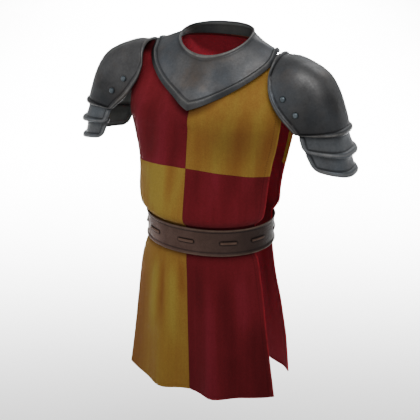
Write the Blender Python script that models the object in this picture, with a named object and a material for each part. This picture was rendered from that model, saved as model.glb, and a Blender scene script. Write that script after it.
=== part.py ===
# A quartered tabard with its belt, its plate collar and its two pauldrons, worn and hollow.
# Metres, +Z up. The front faces -Y and the wearer's left is +X.
# Places in the tables are measured from the middle of the garment, and every piece is then
# moved so that the part's origin lies at the wearer's shoulders.
import bmesh
import bpy
from math import cos, exp, pi, radians, sin, sqrt
from mathutils import Matrix, Vector

SHOULDERS = Vector((0.0, 0.030, 0.390))

# Walls and gaps
CLOTH_WALL = 0.0016
LINING_WALL = 0.0012
LAYER_GAP = 0.0004
SEAM_GAP = 0.0003
PLATE_WALL = 0.0020
BELT_WALL = 0.0040
SEAT_GAP = 0.0003

# Cloth
NECK_CENTRE_Y = 0.0335
NECK_HALF_WIDTH = 0.0875
NECK_FRONT_REACH = 0.0700
NECK_BACK_REACH = 0.0835
NECK_SIDE_HEIGHT = 0.4260
NECK_FRONT_HEIGHT = 0.3760
NECK_BACK_HEIGHT = 0.4200
NECK_SHARE = 0.46
SHOULDER_HALF_WIDTH = 0.1950
SHOULDER_TIP_HEIGHT = 0.4016
SHOULDER_HOLLOW = 0.0115
SHOULDER_HOLLOW_SHARE = 0.80
YOKE_TOP = 0.420
YOKE_FOOT = 0.240
QUARTER_HEIGHT = 0.150
QUARTER_HALF_WIDTH = 0.180
QUARTER_SAG = 0.021
QUARTER_REACH = 0.090
SECTION_POWER = 2.07
SECTION_SHARE = 0.927
LOBE_PLACE = 0.36
LOBE_WIDTH = 0.21

# A row for each level of a panel: height, half width, depth at the centre line and at the
# side edge, and how far the two hanging lobes stand out
FRONT_ROWS = (
    (0.2400, 0.1980, -0.1180, -0.0375, 0.0000),
    (0.2000, 0.1908, -0.1235, -0.0357, 0.0000),
    (0.1500, 0.1800, -0.1296, -0.0370, 0.0000),
    (0.1000, 0.1745, -0.1370, -0.0415, 0.0000),
    (0.0600, 0.1725, -0.1440, -0.0480, 0.0010),
    (0.0300, 0.1680, -0.1480, -0.0500, 0.0010),
    (0.0140, 0.1560, -0.1405, -0.0490, 0.0000),
    (0.0050, 0.1460, -0.1273, -0.0475, 0.0000),
    (-0.0665, 0.1460, -0.1273, -0.0475, 0.0000),
    (-0.0780, 0.1530, -0.1290, -0.0480, 0.0010),
    (-0.1460, 0.1686, -0.1265, -0.0553, 0.0070),
    (-0.2540, 0.1835, -0.1235, -0.0568, 0.0140),
    (-0.3500, 0.1965, -0.1200, -0.0565, 0.0205),
    (-0.4505, 0.2110, -0.1165, -0.0578, 0.0270),
)
BACK_ROWS = (
    (0.2400, 0.1950, 0.1290, 0.0600, 0.0000),
    (0.2000, 0.1870, 0.1330, 0.0600, 0.0000),
    (0.1500, 0.1760, 0.1380, 0.0600, 0.0000),
    (0.1000, 0.1650, 0.1430, 0.0600, 0.0000),
    (0.0600, 0.1600, 0.1480, 0.0600, 0.0010),
    (0.0300, 0.1590, 0.1510, 0.0595, 0.0010),
    (0.0140, 0.1520, 0.1450, 0.0575, 0.0000),
    (0.0050, 0.1460, 0.1353, 0.0555, 0.0000),
    (-0.0665, 0.1460, 0.1353, 0.0555, 0.0000),
    (-0.0780, 0.1470, 0.1375, 0.0565, 0.0010),
    (-0.1460, 0.1545, 0.1400, 0.0600, 0.0050),
    (-0.2540, 0.1765, 0.1420, 0.0610, 0.0100),
    (-0.3500, 0.1880, 0.1420, 0.0690, 0.0150),
    (-0.4505, 0.1930, 0.1400, 0.0780, 0.0200),
)
BREAST_RISE = 0.011
BREAST_WIDTH = 0.20
BREAST_SCALE = 12.2
BREAST_FADE = 0.3
YOKE_STEPS = 7
COLUMN_STEPS = 8
CHEST_LINES = (0.240, 0.195, 0.150)
RUN_STEP = 0.004
SKIRT_LINES = (0.150, 0.100, 0.060, 0.030, 0.014, 0.005, -0.0665, -0.078, -0.146,
               -0.200, -0.254, -0.302, -0.350, -0.400, -0.4505)

# The pull of the cloth where it leaves the neck or shoulder and where it reaches the chest
FRONT_FALL = 1.00
BACK_FALL = 1.40
FRONT_NECK_PULL = 0.070
FRONT_SHOULDER_PULL = 0.070
FRONT_TIP_PULL = 0.070
FRONT_REACH = 0.120
BACK_NECK_PULL = 0.112
BACK_SHOULDER_PULL = 0.155
BACK_TIP_PULL = 0.085
BACK_REACH = 0.150

# Belt
BELT_HALF_WIDTH = 0.162
BELT_HALF_DEPTH = 0.136
BELT_CENTRE_Y = 0.004
BELT_TOP = 0.0035
BELT_BOTTOM = -0.0650
BELT_WELT = 0.0025
BELT_WELT_HEIGHT = 0.0060
BELT_WELT_FOOT = 0.0096
BELT_STATIONS = 40
THONG_PLACES = (0.0, 0.113, 0.197, 0.300, 0.402, 0.500, 0.604, 0.698, 0.800, 0.891)
THONG_LENGTH = 0.042
THONG_HEIGHT = 0.008
THONG_RISE = 0.0026
THONG_LEVEL = -0.0316
THONG_END_RISE = 0.0012
THONG_LINES = (0.0, 0.08, 0.36, 0.64, 0.92, 1.0)
THONG_RANKS = (0.0, 0.5, 1.0)

# Plate collar: its neck rim is a rounded oval, its lower edge comes to a point in front
RIM_HALF_WIDTH = 0.0866
RIM_FRONT_REACH = 0.0680
RIM_BACK_REACH = 0.0880
RIM_FRONT_HEIGHT = 0.4010
RIM_RISE = 0.0510
RIM_CURVE = 2.2
COLLAR_FLARE = 0.97
COLLAR_STATIONS = 44
# A row for each ring of the collar: its share of the way from rim to lower edge, and how far
# it stands out, for the rolled bead at the rim and the border along the edge
COLLAR_RINGS = (
    (0.00, 0.0000),
    (0.05, 0.0028),
    (0.11, 0.0000),
    (0.30, 0.0000),
    (0.50, 0.0000),
    (0.70, 0.0000),
    (0.84, 0.0000),
    (0.87, 0.0024),
    (0.95, 0.0031),
    (1.00, 0.0012),
)
# A row for each angle round the neck from the front: angle, reach and height of the edge
COLLAR_EDGE = (
    (0.0, 0.1541, 0.2880),
    (26.0, 0.1335, 0.3118),
    (50.6, 0.1427, 0.3428),
    (70.0, 0.1559, 0.3719),
    (80.0, 0.1620, 0.3887),
    (91.8, 0.1600, 0.4115),
    (105.5, 0.1530, 0.4010),
    (132.5, 0.1230, 0.3750),
    (160.0, 0.1035, 0.3620),
    (180.0, 0.1005, 0.3580),
)

# Pauldrons: a row for each arch from the neck side to the lower edge, with its front end,
# its crest and how square the arch is (1 is round)
ARCH_COLUMNS = ("front_x", "front_y", "front_z", "crest_x", "crest_z", "roundness")
ARCH_MIDDLE_Y = 0.024
ARCH_RISE = 0.92
ARCH_BACK_ROUNDNESS = 0.72
COP_ARCHES = (
    (0.1650, -0.0300, 0.3640, 0.1690, 0.4085, 0.82),
    (0.1700, -0.0420, 0.3330, 0.2050, 0.4080, 0.76),
    (0.1845, -0.0520, 0.3040, 0.2480, 0.3950, 0.70),
    (0.2045, -0.0540, 0.2780, 0.2860, 0.3730, 0.70),
    (0.2225, -0.0550, 0.2610, 0.3120, 0.3350, 0.68),
    (0.2345, -0.0545, 0.2500, 0.3290, 0.2900, 0.66),
    (0.2425, -0.0540, 0.2440, 0.3430, 0.2430, 0.64),
)
UPPER_LAME_ARCHES = (
    (0.2440, -0.0430, 0.2540, 0.3354, 0.2600, 0.62),
    (0.2530, -0.0490, 0.2290, 0.3410, 0.2300, 0.62),
    (0.2620, -0.0515, 0.2060, 0.3590, 0.1930, 0.62),
)
LOWER_LAME_ARCHES = (
    (0.2580, -0.0420, 0.2130, 0.3484, 0.2080, 0.62),
    (0.2700, -0.0400, 0.1870, 0.3510, 0.1800, 0.64),
    (0.2850, -0.0370, 0.1590, 0.3640, 0.1450, 0.66),
)
BEAD_RISE = 0.0036
BEAD_END_RISE = 0.0020
BEAD_ACROSS = 0.045
COP_BEAD_DOWN = 0.060
LAME_BEAD_DOWN = 0.140
COP_STEPS = (10, 8)
LAME_STEPS = (10, 3)
ARCH_SAMPLES = 48

# Rivets: how far down the plate and how far in from its edge each pair sits
RIVET_RADIUS = 0.0075
RIVET_HEIGHT = 0.0050
RIVET_PLACES = (("upper", 0.375, 0.104), ("lower", 0.605, 0.106))

# Colour, roughness and metallic value of each material
FINISHES = {
    "red_cloth": ((0.16, 0.012, 0.018, 1.0), 0.90, 0.0),
    "gold_cloth": ((0.38, 0.20, 0.035, 1.0), 0.88, 0.0),
    "lining_cloth": ((0.12, 0.010, 0.014, 1.0), 0.92, 0.0),
    "steel": ((0.10, 0.10, 0.105, 1.0), 0.48, 1.0),
    "belt_leather": ((0.055, 0.038, 0.036, 1.0), 0.62, 0.0),
    "thong_leather": ((0.11, 0.065, 0.052, 1.0), 0.70, 0.0),
    "rivet_steel": ((0.13, 0.15, 0.17, 1.0), 0.42, 1.0),
}


def clear_scene():
    """Remove every object that the file opens with."""
    for thing in list(bpy.data.objects):
        bpy.data.objects.remove(thing, do_unlink=True)


def finish(name, kind):
    """A material of the given finish that belongs to one piece."""
    colour, roughness, metallic = FINISHES[kind]
    material = bpy.data.materials.new(name)
    material.use_nodes = True
    shader = material.node_tree.nodes["Principled BSDF"]
    shader.inputs["Base Color"].default_value = colour
    shader.inputs["Roughness"].default_value = roughness
    shader.inputs["Metallic"].default_value = metallic
    return material


def smooth(knots, values, at):
    """Read a table with a smooth curve that never swings past its rows."""
    rising = knots[-1] > knots[0]
    for index in range(len(knots) - 1):
        low, high = knots[index], knots[index + 1]
        if (at <= high) if rising else (at >= high):
            break

    def slope(number):
        return (values[number + 1] - values[number]) / (knots[number + 1] - knots[number])

    def tangent(number):
        if number == 0:
            return slope(0)
        if number == len(knots) - 1:
            return slope(number - 1)
        before, after = slope(number - 1), slope(number)
        return 0.0 if before * after <= 0.0 else 2.0 * before * after / (before + after)

    step = high - low
    t = (at - low) / step
    return (values[index] * (2 * t**3 - 3 * t**2 + 1)
            + tangent(index) * step * (t**3 - 2 * t**2 + t)
            + values[index + 1] * (3 * t**2 - 2 * t**3)
            + tangent(index + 1) * step * (t**3 - t**2))


def column(table, number):
    """One column of a table."""
    return [row[number] for row in table]


def add_object(name, mesh_maker, kind):
    """Turn a bmesh into a smooth-shaded object with a material of its own."""
    bmesh.ops.recalc_face_normals(mesh_maker, faces=mesh_maker.faces)
    if mesh_maker.calc_volume(signed=True) < 0.0:
        bmesh.ops.reverse_faces(mesh_maker, faces=mesh_maker.faces)
    mesh = bpy.data.meshes.new(name)
    mesh_maker.to_mesh(mesh)
    mesh_maker.free()
    mesh.shade_smooth()
    mesh.set_sharp_from_angle(angle=radians(38))
    mesh.materials.append(finish(name, kind))
    thing = bpy.data.objects.new(name, mesh)
    bpy.context.collection.objects.link(thing)
    return thing


def outward(surface, u, v):
    """The unit normal of a surface, from two short steps along it."""
    step = 0.001
    u_low, u_high = max(u - step, 0.0), min(u + step, 1.0)
    v_low, v_high = max(v - step, 0.0), min(v + step, 1.0)
    across = surface(u_high, v) - surface(u_low, v)
    down = surface(u, v_high) - surface(u, v_low)
    return down.cross(across).normalized()


def wall(name, surface, across, down, near, far, kind, closed=False):
    """A wall on a surface: a grid of its points, extruded, from depth near to depth far.

    across and down hold the grid lines; depth is measured inwards, and near and far
    are functions of the line numbers. A closed wall runs right round.
    """
    maker = bmesh.new()
    line = maker.verts.layers.int.new("line")
    rank = maker.verts.layers.int.new("rank")
    columns, rows = len(across) - 1, len(down) - 1
    bmesh.ops.create_grid(maker, x_segments=columns, y_segments=rows, size=0.5)
    for vert in maker.verts:
        vert[line] = round((vert.co.x + 0.5) * columns)
        vert[rank] = round((vert.co.y + 0.5) * rows)
    if closed:
        for vert in maker.verts:
            angle = 2.0 * pi * vert[line] / columns
            vert.co = (cos(angle), sin(angle), vert[rank])
        bmesh.ops.remove_doubles(maker, verts=maker.verts, dist=0.0001)
    bmesh.ops.triangulate(maker, faces=maker.faces, quad_method="FIXED")
    far_side = bmesh.ops.extrude_face_region(maker, geom=maker.faces[:])["geom"]
    far_verts = {item for item in far_side if isinstance(item, bmesh.types.BMVert)}
    for vert in maker.verts:
        u_number, v_number = vert[line] % columns if closed else vert[line], vert[rank]
        depth = (far if vert in far_verts else near)(u_number, v_number)
        u, v = across[u_number], down[v_number]
        vert.co = surface(u, v) - outward(surface, u, v) * depth - SHOULDERS
    return add_object(name, maker, kind)


# Cloth panels

def section_share(s):
    """How far a panel's section has come forward at s, from 1 at the centre to 0 at the edge."""
    power = SECTION_POWER
    edge = (1.0 - SECTION_SHARE**power) ** (1.0 / power)
    here = (1.0 - (SECTION_SHARE * abs(s)) ** power) ** (1.0 / power)
    return (here - edge) / (1.0 - edge)


def body_point(rows, s, height):
    """A point of a panel below its yoke, s from -1 at the right edge to 1 at the left."""
    heights = column(rows, 0)
    half_width, centre, edge, lobe = (
        smooth(heights, column(rows, number), height) for number in range(1, 5))
    forward = -1.0 if centre < 0.0 else 1.0
    bump = exp(-((abs(s) - LOBE_PLACE) / LOBE_WIDTH) ** 2)
    depth = edge + (centre - edge) * section_share(s) + forward * lobe * bump
    return Vector((s * half_width, depth, height))


def top_point(s, forward):
    """A point of a panel's top: the neckline near the centre, then the shoulder seam."""
    side = 1.0 if s >= 0.0 else -1.0
    share = abs(s)
    if share <= NECK_SHARE:
        turn = 0.5 * pi * share / NECK_SHARE
        reach = NECK_FRONT_REACH if forward < 0.0 else NECK_BACK_REACH
        low = NECK_FRONT_HEIGHT if forward < 0.0 else NECK_BACK_HEIGHT
        height = NECK_SIDE_HEIGHT + (low - NECK_SIDE_HEIGHT) * cos(turn) ** 2
        return Vector((side * NECK_HALF_WIDTH * sin(turn),
                       NECK_CENTRE_Y + forward * reach * cos(turn), height))
    along = (share - NECK_SHARE) / (1.0 - NECK_SHARE)
    height = NECK_SIDE_HEIGHT + (SHOULDER_TIP_HEIGHT - NECK_SIDE_HEIGHT) * along
    height -= SHOULDER_HOLLOW * sin(pi * min(1.0, along / SHOULDER_HOLLOW_SHARE))
    out = NECK_HALF_WIDTH + (SHOULDER_HALF_WIDTH - NECK_HALF_WIDTH) * along
    return Vector((side * out, NECK_CENTRE_Y, height))


def cloth_point(rows, s, height):
    """A point of a panel: a smooth yoke from the neck and shoulder down to the chest."""
    forward = -1.0 if rows is FRONT_ROWS else 1.0
    if height <= YOKE_FOOT:
        near_quarter = max(0.0, 1.0 - abs(height - QUARTER_HEIGHT) / QUARTER_REACH)
        return body_point(rows, s, height - QUARTER_SAG * s * s * near_quarter)
    top = top_point(s, forward)
    foot = body_point(rows, s, YOKE_FOOT)
    run = (body_point(rows, s, YOKE_FOOT - RUN_STEP) - foot).normalized()
    turned = min(1.0, abs(s) / NECK_SHARE)
    fall = FRONT_FALL if forward < 0.0 else BACK_FALL
    start = Vector((0.0, forward, -fall * cos(0.5 * pi * turned))).normalized()
    neck, shoulder, tip, reach = (
        (FRONT_NECK_PULL, FRONT_SHOULDER_PULL, FRONT_TIP_PULL, FRONT_REACH) if forward < 0.0
        else (BACK_NECK_PULL, BACK_SHOULDER_PULL, BACK_TIP_PULL, BACK_REACH))
    beyond = max(0.0, abs(s) - NECK_SHARE) / (1.0 - NECK_SHARE)
    pull = neck + (shoulder - neck) * turned + (tip - shoulder) * beyond
    t = (YOKE_TOP - height) / (YOKE_TOP - YOKE_FOOT)
    place = (top * (2 * t**3 - 3 * t**2 + 1) + start * pull * (t**3 - 2 * t**2 + t)
             + foot * (3 * t**2 - 2 * t**3) + run * reach * (t**3 - t**2))
    if forward < 0.0:
        left = (1.0 - t) / BREAST_FADE
        fade = 1.0 - t if left > 1.0 else BREAST_FADE * left**2 * (2.0 - left)
        place.y -= BREAST_RISE * exp(-(s / BREAST_WIDTH) ** 2) * BREAST_SCALE * t**4 * fade
    return place


def panel(name, rows, s_low, s_high, heights, near, far, kind):
    """One cut piece of a panel between two columns and two levels."""
    front = rows is FRONT_ROWS
    steps = COLUMN_STEPS * (2 if s_low * s_high < -0.5 else 1)
    across = [number / steps for number in range(steps + 1)]
    top, bottom = heights[0], heights[-1]
    down = [(top - height) / (top - bottom) for height in heights]
    shift = Vector((0.0, (-0.5 if front else 0.5) * SEAM_GAP, 0.0))

    def surface(u, v):
        s = s_low + (s_high - s_low) * (u if front else 1.0 - u)
        return cloth_point(rows, s, top + (bottom - top) * v) + shift

    return wall(name, surface, across, down, lambda line, rank: near, lambda line, rank: far, kind)


def make_cloth():
    """Four quarters and a plain lining for the front, and the same for the back."""
    yoke = [YOKE_TOP + (YOKE_FOOT - YOKE_TOP) * number / YOKE_STEPS
            for number in range(YOKE_STEPS)]
    gap = 0.5 * SEAM_GAP
    chest = yoke + list(CHEST_LINES[:-1]) + [QUARTER_HEIGHT + gap]
    skirt = [QUARTER_HEIGHT - gap] + list(SKIRT_LINES[1:])
    whole = yoke + list(CHEST_LINES) + list(SKIRT_LINES[1:])
    centre = gap / QUARTER_HALF_WIDTH
    for side_name, rows in (("front", FRONT_ROWS), ("back", BACK_ROWS)):
        for hand, low, high in (("right", -1.0, -centre), ("left", centre, 1.0)):
            chest_kind = "red_cloth" if hand == "right" else "gold_cloth"
            skirt_kind = "gold_cloth" if hand == "right" else "red_cloth"
            panel(f"{side_name}_chest_{hand}", rows, low, high, chest, 0.0, CLOTH_WALL, chest_kind)
            panel(f"{side_name}_skirt_{hand}", rows, low, high, skirt, 0.0, CLOTH_WALL, skirt_kind)
        inside = CLOTH_WALL + LAYER_GAP
        panel(f"{side_name}_lining", rows, -1.0, 1.0, whole, inside, inside + LINING_WALL,
              "lining_cloth")


# Belt

def belt_point(u, v):
    """A point of the belt's outer face: u runs round it, v from its top to its bottom."""
    turn = 2.0 * pi * u
    power = 2.0 / SECTION_POWER
    c, s = cos(turn), sin(turn)
    x = BELT_HALF_WIDTH * (1.0 if s >= 0.0 else -1.0) * abs(s) ** power
    y = -BELT_HALF_DEPTH * (1.0 if c >= 0.0 else -1.0) * abs(c) ** power
    return Vector((x, BELT_CENTRE_Y + y, BELT_TOP + (BELT_BOTTOM - BELT_TOP) * v))


def make_belt():
    """The belt with a raised welt along both edges, and the thongs laced through it."""
    tall = BELT_TOP - BELT_BOTTOM
    lines = (0.0, BELT_WELT_HEIGHT, BELT_WELT_FOOT, tall * 0.5,
             tall - BELT_WELT_FOOT, tall - BELT_WELT_HEIGHT, tall)
    rises = (BELT_WELT, BELT_WELT, 0.0, 0.0, 0.0, BELT_WELT, BELT_WELT)
    across = [number / BELT_STATIONS for number in range(BELT_STATIONS + 1)]
    wall("belt", belt_point, across, [line / tall for line in lines],
         lambda line, rank: -rises[rank], lambda line, rank: BELT_WALL,
         "belt_leather", closed=True)
    for number, share in enumerate(THONG_PLACES):
        make_thong(f"belt_thong_{number + 1:02d}", share)


def belt_arc(samples=720):
    """The belt's length from its front centre to each of many turns round it."""
    lengths = [0.0]
    for number in range(samples):
        step = belt_point((number + 1) / samples, 0.0) - belt_point(number / samples, 0.0)
        lengths.append(lengths[-1] + step.length)
    return lengths


def turn_at(lengths, length):
    """How far round the belt a length of its edge reaches, from 0 to 1."""
    length %= lengths[-1]
    for number in range(len(lengths) - 1):
        if length <= lengths[number + 1]:
            part = (length - lengths[number]) / (lengths[number + 1] - lengths[number])
            return (number + part) / (len(lengths) - 1)
    return 1.0


def make_thong(name, share):
    """A raised stitch of thong, a flat bar on the belt's face at its share of the way round."""
    lengths = belt_arc()
    middle = share * lengths[-1]
    tall = BELT_TOP - BELT_BOTTOM
    level = (BELT_TOP - THONG_LEVEL) / tall

    def surface(u, v):
        turn = turn_at(lengths, middle + (u - 0.5) * THONG_LENGTH)
        return belt_point(turn, level + (v - 0.5) * THONG_HEIGHT / tall)

    def top(line, rank):
        low = line in (0, len(THONG_LINES) - 1) or rank in (0, len(THONG_RANKS) - 1)
        return -SEAT_GAP - (THONG_END_RISE if low else THONG_RISE)

    wall(name, surface, THONG_LINES, THONG_RANKS, top, lambda line, rank: -SEAT_GAP,
         "thong_leather")


# Plate collar

def collar_point(u, v):
    """A point of the collar: u runs round the neck from the front, v from rim to lower edge."""
    turn = 2.0 * pi * u
    c, s = cos(turn), sin(turn)
    deep = RIM_FRONT_REACH if c >= 0.0 else RIM_BACK_REACH
    rim = 1.0 / sqrt((s / RIM_HALF_WIDTH) ** 2 + (c / deep) ** 2)
    back_share = (RIM_FRONT_REACH - rim * c) / (RIM_FRONT_REACH + RIM_BACK_REACH)
    rim_height = RIM_FRONT_HEIGHT + RIM_RISE * (1.0 - (1.0 - min(1.0, back_share)) ** RIM_CURVE)
    degrees = 360.0 * u if u <= 0.5 else 360.0 - 360.0 * u
    angles = column(COLLAR_EDGE, 0)
    edge = smooth(angles, column(COLLAR_EDGE, 1), degrees)
    edge_height = smooth(angles, column(COLLAR_EDGE, 2), degrees)
    reach = rim + (edge - rim) * v
    height = rim_height + (edge_height - rim_height) * v**COLLAR_FLARE
    return Vector((reach * s, NECK_CENTRE_Y - reach * c, height))


def make_collar():
    """The collar, with a bead round its neck rim and a raised border along its lower edge."""
    rises = column(COLLAR_RINGS, 1)
    across = [number / COLLAR_STATIONS for number in range(COLLAR_STATIONS + 1)]
    wall("plate_collar", collar_point, across, column(COLLAR_RINGS, 0),
         lambda line, rank: -rises[rank], lambda line, rank: PLATE_WALL, "steel", closed=True)


# Pauldrons

def arch_surface(arches, hand):
    """The surface through a table of arches, mirrored front to back about its middle."""
    knots = [number / (len(arches) - 1) for number in range(len(arches))]
    middle = ARCH_MIDDLE_Y
    made = {}

    def arch(v):
        if v in made:
            return made[v]
        row = {key: smooth(knots, column(arches, number), v)
               for number, key in enumerate(ARCH_COLUMNS)}
        points = []
        for number in range(ARCH_SAMPLES + 1):
            turn = pi * number / ARCH_SAMPLES
            c, rise = cos(turn), sin(turn) ** ARCH_RISE
            out = c ** row["roundness"] if c >= 0.0 else -abs(c) ** ARCH_BACK_ROUNDNESS
            points.append(Vector((
                hand * (row["front_x"] + (row["crest_x"] - row["front_x"]) * rise),
                middle + (row["front_y"] - middle) * out,
                row["front_z"] + (row["crest_z"] - row["front_z"]) * rise)))
        lengths = [0.0]
        for before, after in zip(points, points[1:]):
            lengths.append(lengths[-1] + (after - before).length)
        made[v] = points, lengths
        return made[v]

    def surface(u, v):
        points, lengths = arch(v)
        length = (u if hand > 0 else 1.0 - u) * lengths[-1]
        number = 0
        while number < ARCH_SAMPLES - 1 and lengths[number + 1] < length:
            number += 1
        part = (length - lengths[number]) / (lengths[number + 1] - lengths[number])
        return points[number].lerp(points[number + 1], part)

    return surface


def edge_lines(steps, bead, both):
    """Grid lines with a narrow pair for the bead at one edge or at both."""
    start = [0.0, bead * 0.5, bead] if both else [0.0]
    inner = [start[-1] + (1.0 - bead - start[-1]) * number / steps
             for number in range(1, steps)]
    return start + inner + [1.0 - bead, 1.0 - bead * 0.5, 1.0]


def make_plate(name, arches, hand, steps, top_bead):
    """An arched plate with a rolled bead along its free edges."""
    surface = arch_surface(arches, hand)
    across = edge_lines(steps[0], BEAD_ACROSS, True)
    down = edge_lines(steps[1], COP_BEAD_DOWN if top_bead else LAME_BEAD_DOWN, top_bead)
    last_line, last_rank = len(across) - 1, len(down) - 1

    def outer(line, rank):
        if not top_bead and rank < 2:
            return 0.0
        sides = [line, last_line - line, last_rank - rank] + ([rank] if top_bead else [])
        nearest = min(sides)
        return -{0: BEAD_END_RISE, 1: BEAD_RISE}.get(nearest, 0.0)

    wall(name, surface, across, down, outer, lambda line, rank: PLATE_WALL, "steel")
    return surface


def make_rivet(name, surface, u, v):
    """A domed rivet head standing on a plate."""
    maker = bmesh.new()
    bmesh.ops.create_uvsphere(maker, u_segments=10, v_segments=6, radius=RIVET_RADIUS)
    bmesh.ops.bisect_plane(maker, geom=maker.verts[:] + maker.edges[:] + maker.faces[:],
                           plane_co=(0.0, 0.0, 0.0), plane_no=(0.0, 0.0, 1.0), clear_inner=True)
    bmesh.ops.holes_fill(maker, edges=maker.edges)
    bmesh.ops.scale(maker, vec=(1.0, 1.0, RIVET_HEIGHT / RIVET_RADIUS), verts=maker.verts)
    normal = outward(surface, u, v)
    place = surface(u, v) + normal * SEAT_GAP - SHOULDERS
    turn = normal.to_track_quat("Z", "Y").to_matrix().to_4x4()
    bmesh.ops.transform(maker, matrix=Matrix.Translation(place) @ turn, verts=maker.verts)
    add_object(name, maker, "rivet_steel")


def make_pauldrons():
    """A cop and two lames for each shoulder, with four rivets on each cop."""
    for side, hand in (("left", 1), ("right", -1)):
        cop = make_plate(f"pauldron_cop_{side}", COP_ARCHES, hand, COP_STEPS, True)
        make_plate(f"pauldron_upper_lame_{side}", UPPER_LAME_ARCHES, hand, LAME_STEPS, False)
        make_plate(f"pauldron_lower_lame_{side}", LOWER_LAME_ARCHES, hand, LAME_STEPS, False)
        for place, v, u in RIVET_PLACES:
            for face, share in (("front", u), ("back", 1.0 - u)):
                across = share if hand > 0 else 1.0 - share
                make_rivet(f"rivet_{face}_{place}_{side}", cop, across, v)


def main():
    """Build the whole part."""
    clear_scene()
    make_cloth()
    make_belt()
    make_collar()
    make_pauldrons()


main()
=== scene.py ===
# %% [markdown]
# # A quartered tabard with its belt, plate collar and pauldrons
#
# A tabard is a pair of cloth panels, one in front and one behind, that hang from the
# shoulders and are held in at the waist by a belt. This one is quartered red and gold and
# lined in dark red. A steel collar covers its neckline, and laminated steel plates cover
# its shoulders. It is shown as it hangs when it is worn, with nobody in it.
#
# The imported model is loaded first. It is the frame that every finished piece is laid on.

# %% Load the imported model
import bmesh
import bpy
from math import cos, exp, pi, radians, sin, sqrt
from mathutils import Matrix, Vector


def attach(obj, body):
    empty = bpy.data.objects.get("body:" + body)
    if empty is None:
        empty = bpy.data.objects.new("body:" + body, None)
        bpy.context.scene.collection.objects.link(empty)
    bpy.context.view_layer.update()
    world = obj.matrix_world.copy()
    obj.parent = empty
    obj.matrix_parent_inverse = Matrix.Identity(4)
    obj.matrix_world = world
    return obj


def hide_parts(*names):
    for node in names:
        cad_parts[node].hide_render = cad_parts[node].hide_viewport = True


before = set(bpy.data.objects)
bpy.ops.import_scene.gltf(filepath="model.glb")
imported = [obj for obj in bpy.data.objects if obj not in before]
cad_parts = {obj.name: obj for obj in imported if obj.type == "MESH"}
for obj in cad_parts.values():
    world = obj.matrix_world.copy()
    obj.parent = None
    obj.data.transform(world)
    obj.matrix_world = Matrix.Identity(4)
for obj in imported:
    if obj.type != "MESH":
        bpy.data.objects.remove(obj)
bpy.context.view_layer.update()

print("solids:", len(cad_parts))

# %% [markdown]
# ## Camera and light
#
# The garment is seen from a little above and from its left, through a long lens that keeps
# its proportions calm. Armour mirrors what is round it, so the light comes from broad soft
# panels rather than from points, and the pale room gives the steel something to reflect.
# The floor lies well below the hem, where it would be if the tabard were worn.

# %% Camera, lights, floor and room
SHOULDERS = Vector((0.0, 0.030, 0.390))
VIEW_DIRECTION = Vector((0.4149, -0.8321, 0.3681))
VIEW_DISTANCE = 2.635
LENS = 90.5
SENSOR_WIDTH = 36.0
FLOOR_HEIGHT = -1.42
FLOOR_HALF_WIDTH = 14.0
ROOM_STRENGTH = 0.85
# Place, width, height, power and colour of each panel of light that faces the chest
PANELS = {
    "key_light": ((1.5, -2.0, 2.4), 1.7, 1.7, 74.0, (1.0, 0.98, 0.95)),
    "fill_light": ((-2.4, -1.6, 0.6), 1.6, 2.0, 13.0, (1.0, 0.99, 0.97)),
    "back_light": ((0.4, 2.4, 1.6), 1.6, 1.2, 17.0, (1.0, 1.0, 1.0)),
}
BACKDROP_PLACE = (-2.7, 5.3, 1.5)
BACKDROP_SIZE = (5.0, 8.0)
BACKDROP_TURN = radians(26.5)
BACKDROP_SPREAD = radians(70)
BACKDROP_POWER = 2200.0

scene = bpy.context.scene
lens = bpy.data.cameras.new("studio_camera")
lens.lens = LENS
lens.sensor_width = SENSOR_WIDTH
camera = bpy.data.objects.new("studio_camera", lens)
scene.collection.objects.link(camera)
camera.location = VIEW_DIRECTION * VIEW_DISTANCE - SHOULDERS
camera.rotation_euler = VIEW_DIRECTION.to_track_quat("Z", "Y").to_euler()
scene.camera = camera


def soft_light(name, place, width, height, power, colour):
    """A broad panel of light that faces the chest."""
    panel = bpy.data.lights.new(name, "AREA")
    panel.shape = "RECTANGLE"
    panel.size, panel.size_y = width, height
    panel.energy = power
    panel.color = colour
    light = bpy.data.objects.new(name, panel)
    scene.collection.objects.link(light)
    light.location = place
    light.rotation_euler = (Vector(place) + SHOULDERS).to_track_quat("Z", "Y").to_euler()
    return panel, light


for name, settings in PANELS.items():
    soft_light(name, *settings)

# A wide panel behind the garment, turned to the floor, lights the floor there and nothing else
backdrop, backdrop_light = soft_light("backdrop_light", BACKDROP_PLACE, *BACKDROP_SIZE,
                                      BACKDROP_POWER, (1.0, 1.0, 1.0))
backdrop.spread = BACKDROP_SPREAD
backdrop_light.rotation_euler = (0.0, 0.0, BACKDROP_TURN)

room = bpy.data.worlds.new("pale_room")
room.use_nodes = True
room.node_tree.nodes["Background"].inputs["Color"].default_value = (1.0, 1.0, 1.0, 1.0)
room.node_tree.nodes["Background"].inputs["Strength"].default_value = ROOM_STRENGTH
scene.world = room

floor_maker = bmesh.new()
bmesh.ops.create_grid(floor_maker, x_segments=1, y_segments=1, size=FLOOR_HALF_WIDTH)
bmesh.ops.translate(floor_maker, verts=floor_maker.verts, vec=(0.0, 0.0, FLOOR_HEIGHT))
floor_mesh = bpy.data.meshes.new("pale_floor")
floor_maker.to_mesh(floor_mesh)
floor_maker.free()
floor = bpy.data.objects.new("pale_floor", floor_mesh)
scene.collection.objects.link(floor)
print("camera at", [round(n, 3) for n in camera.location])
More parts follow.
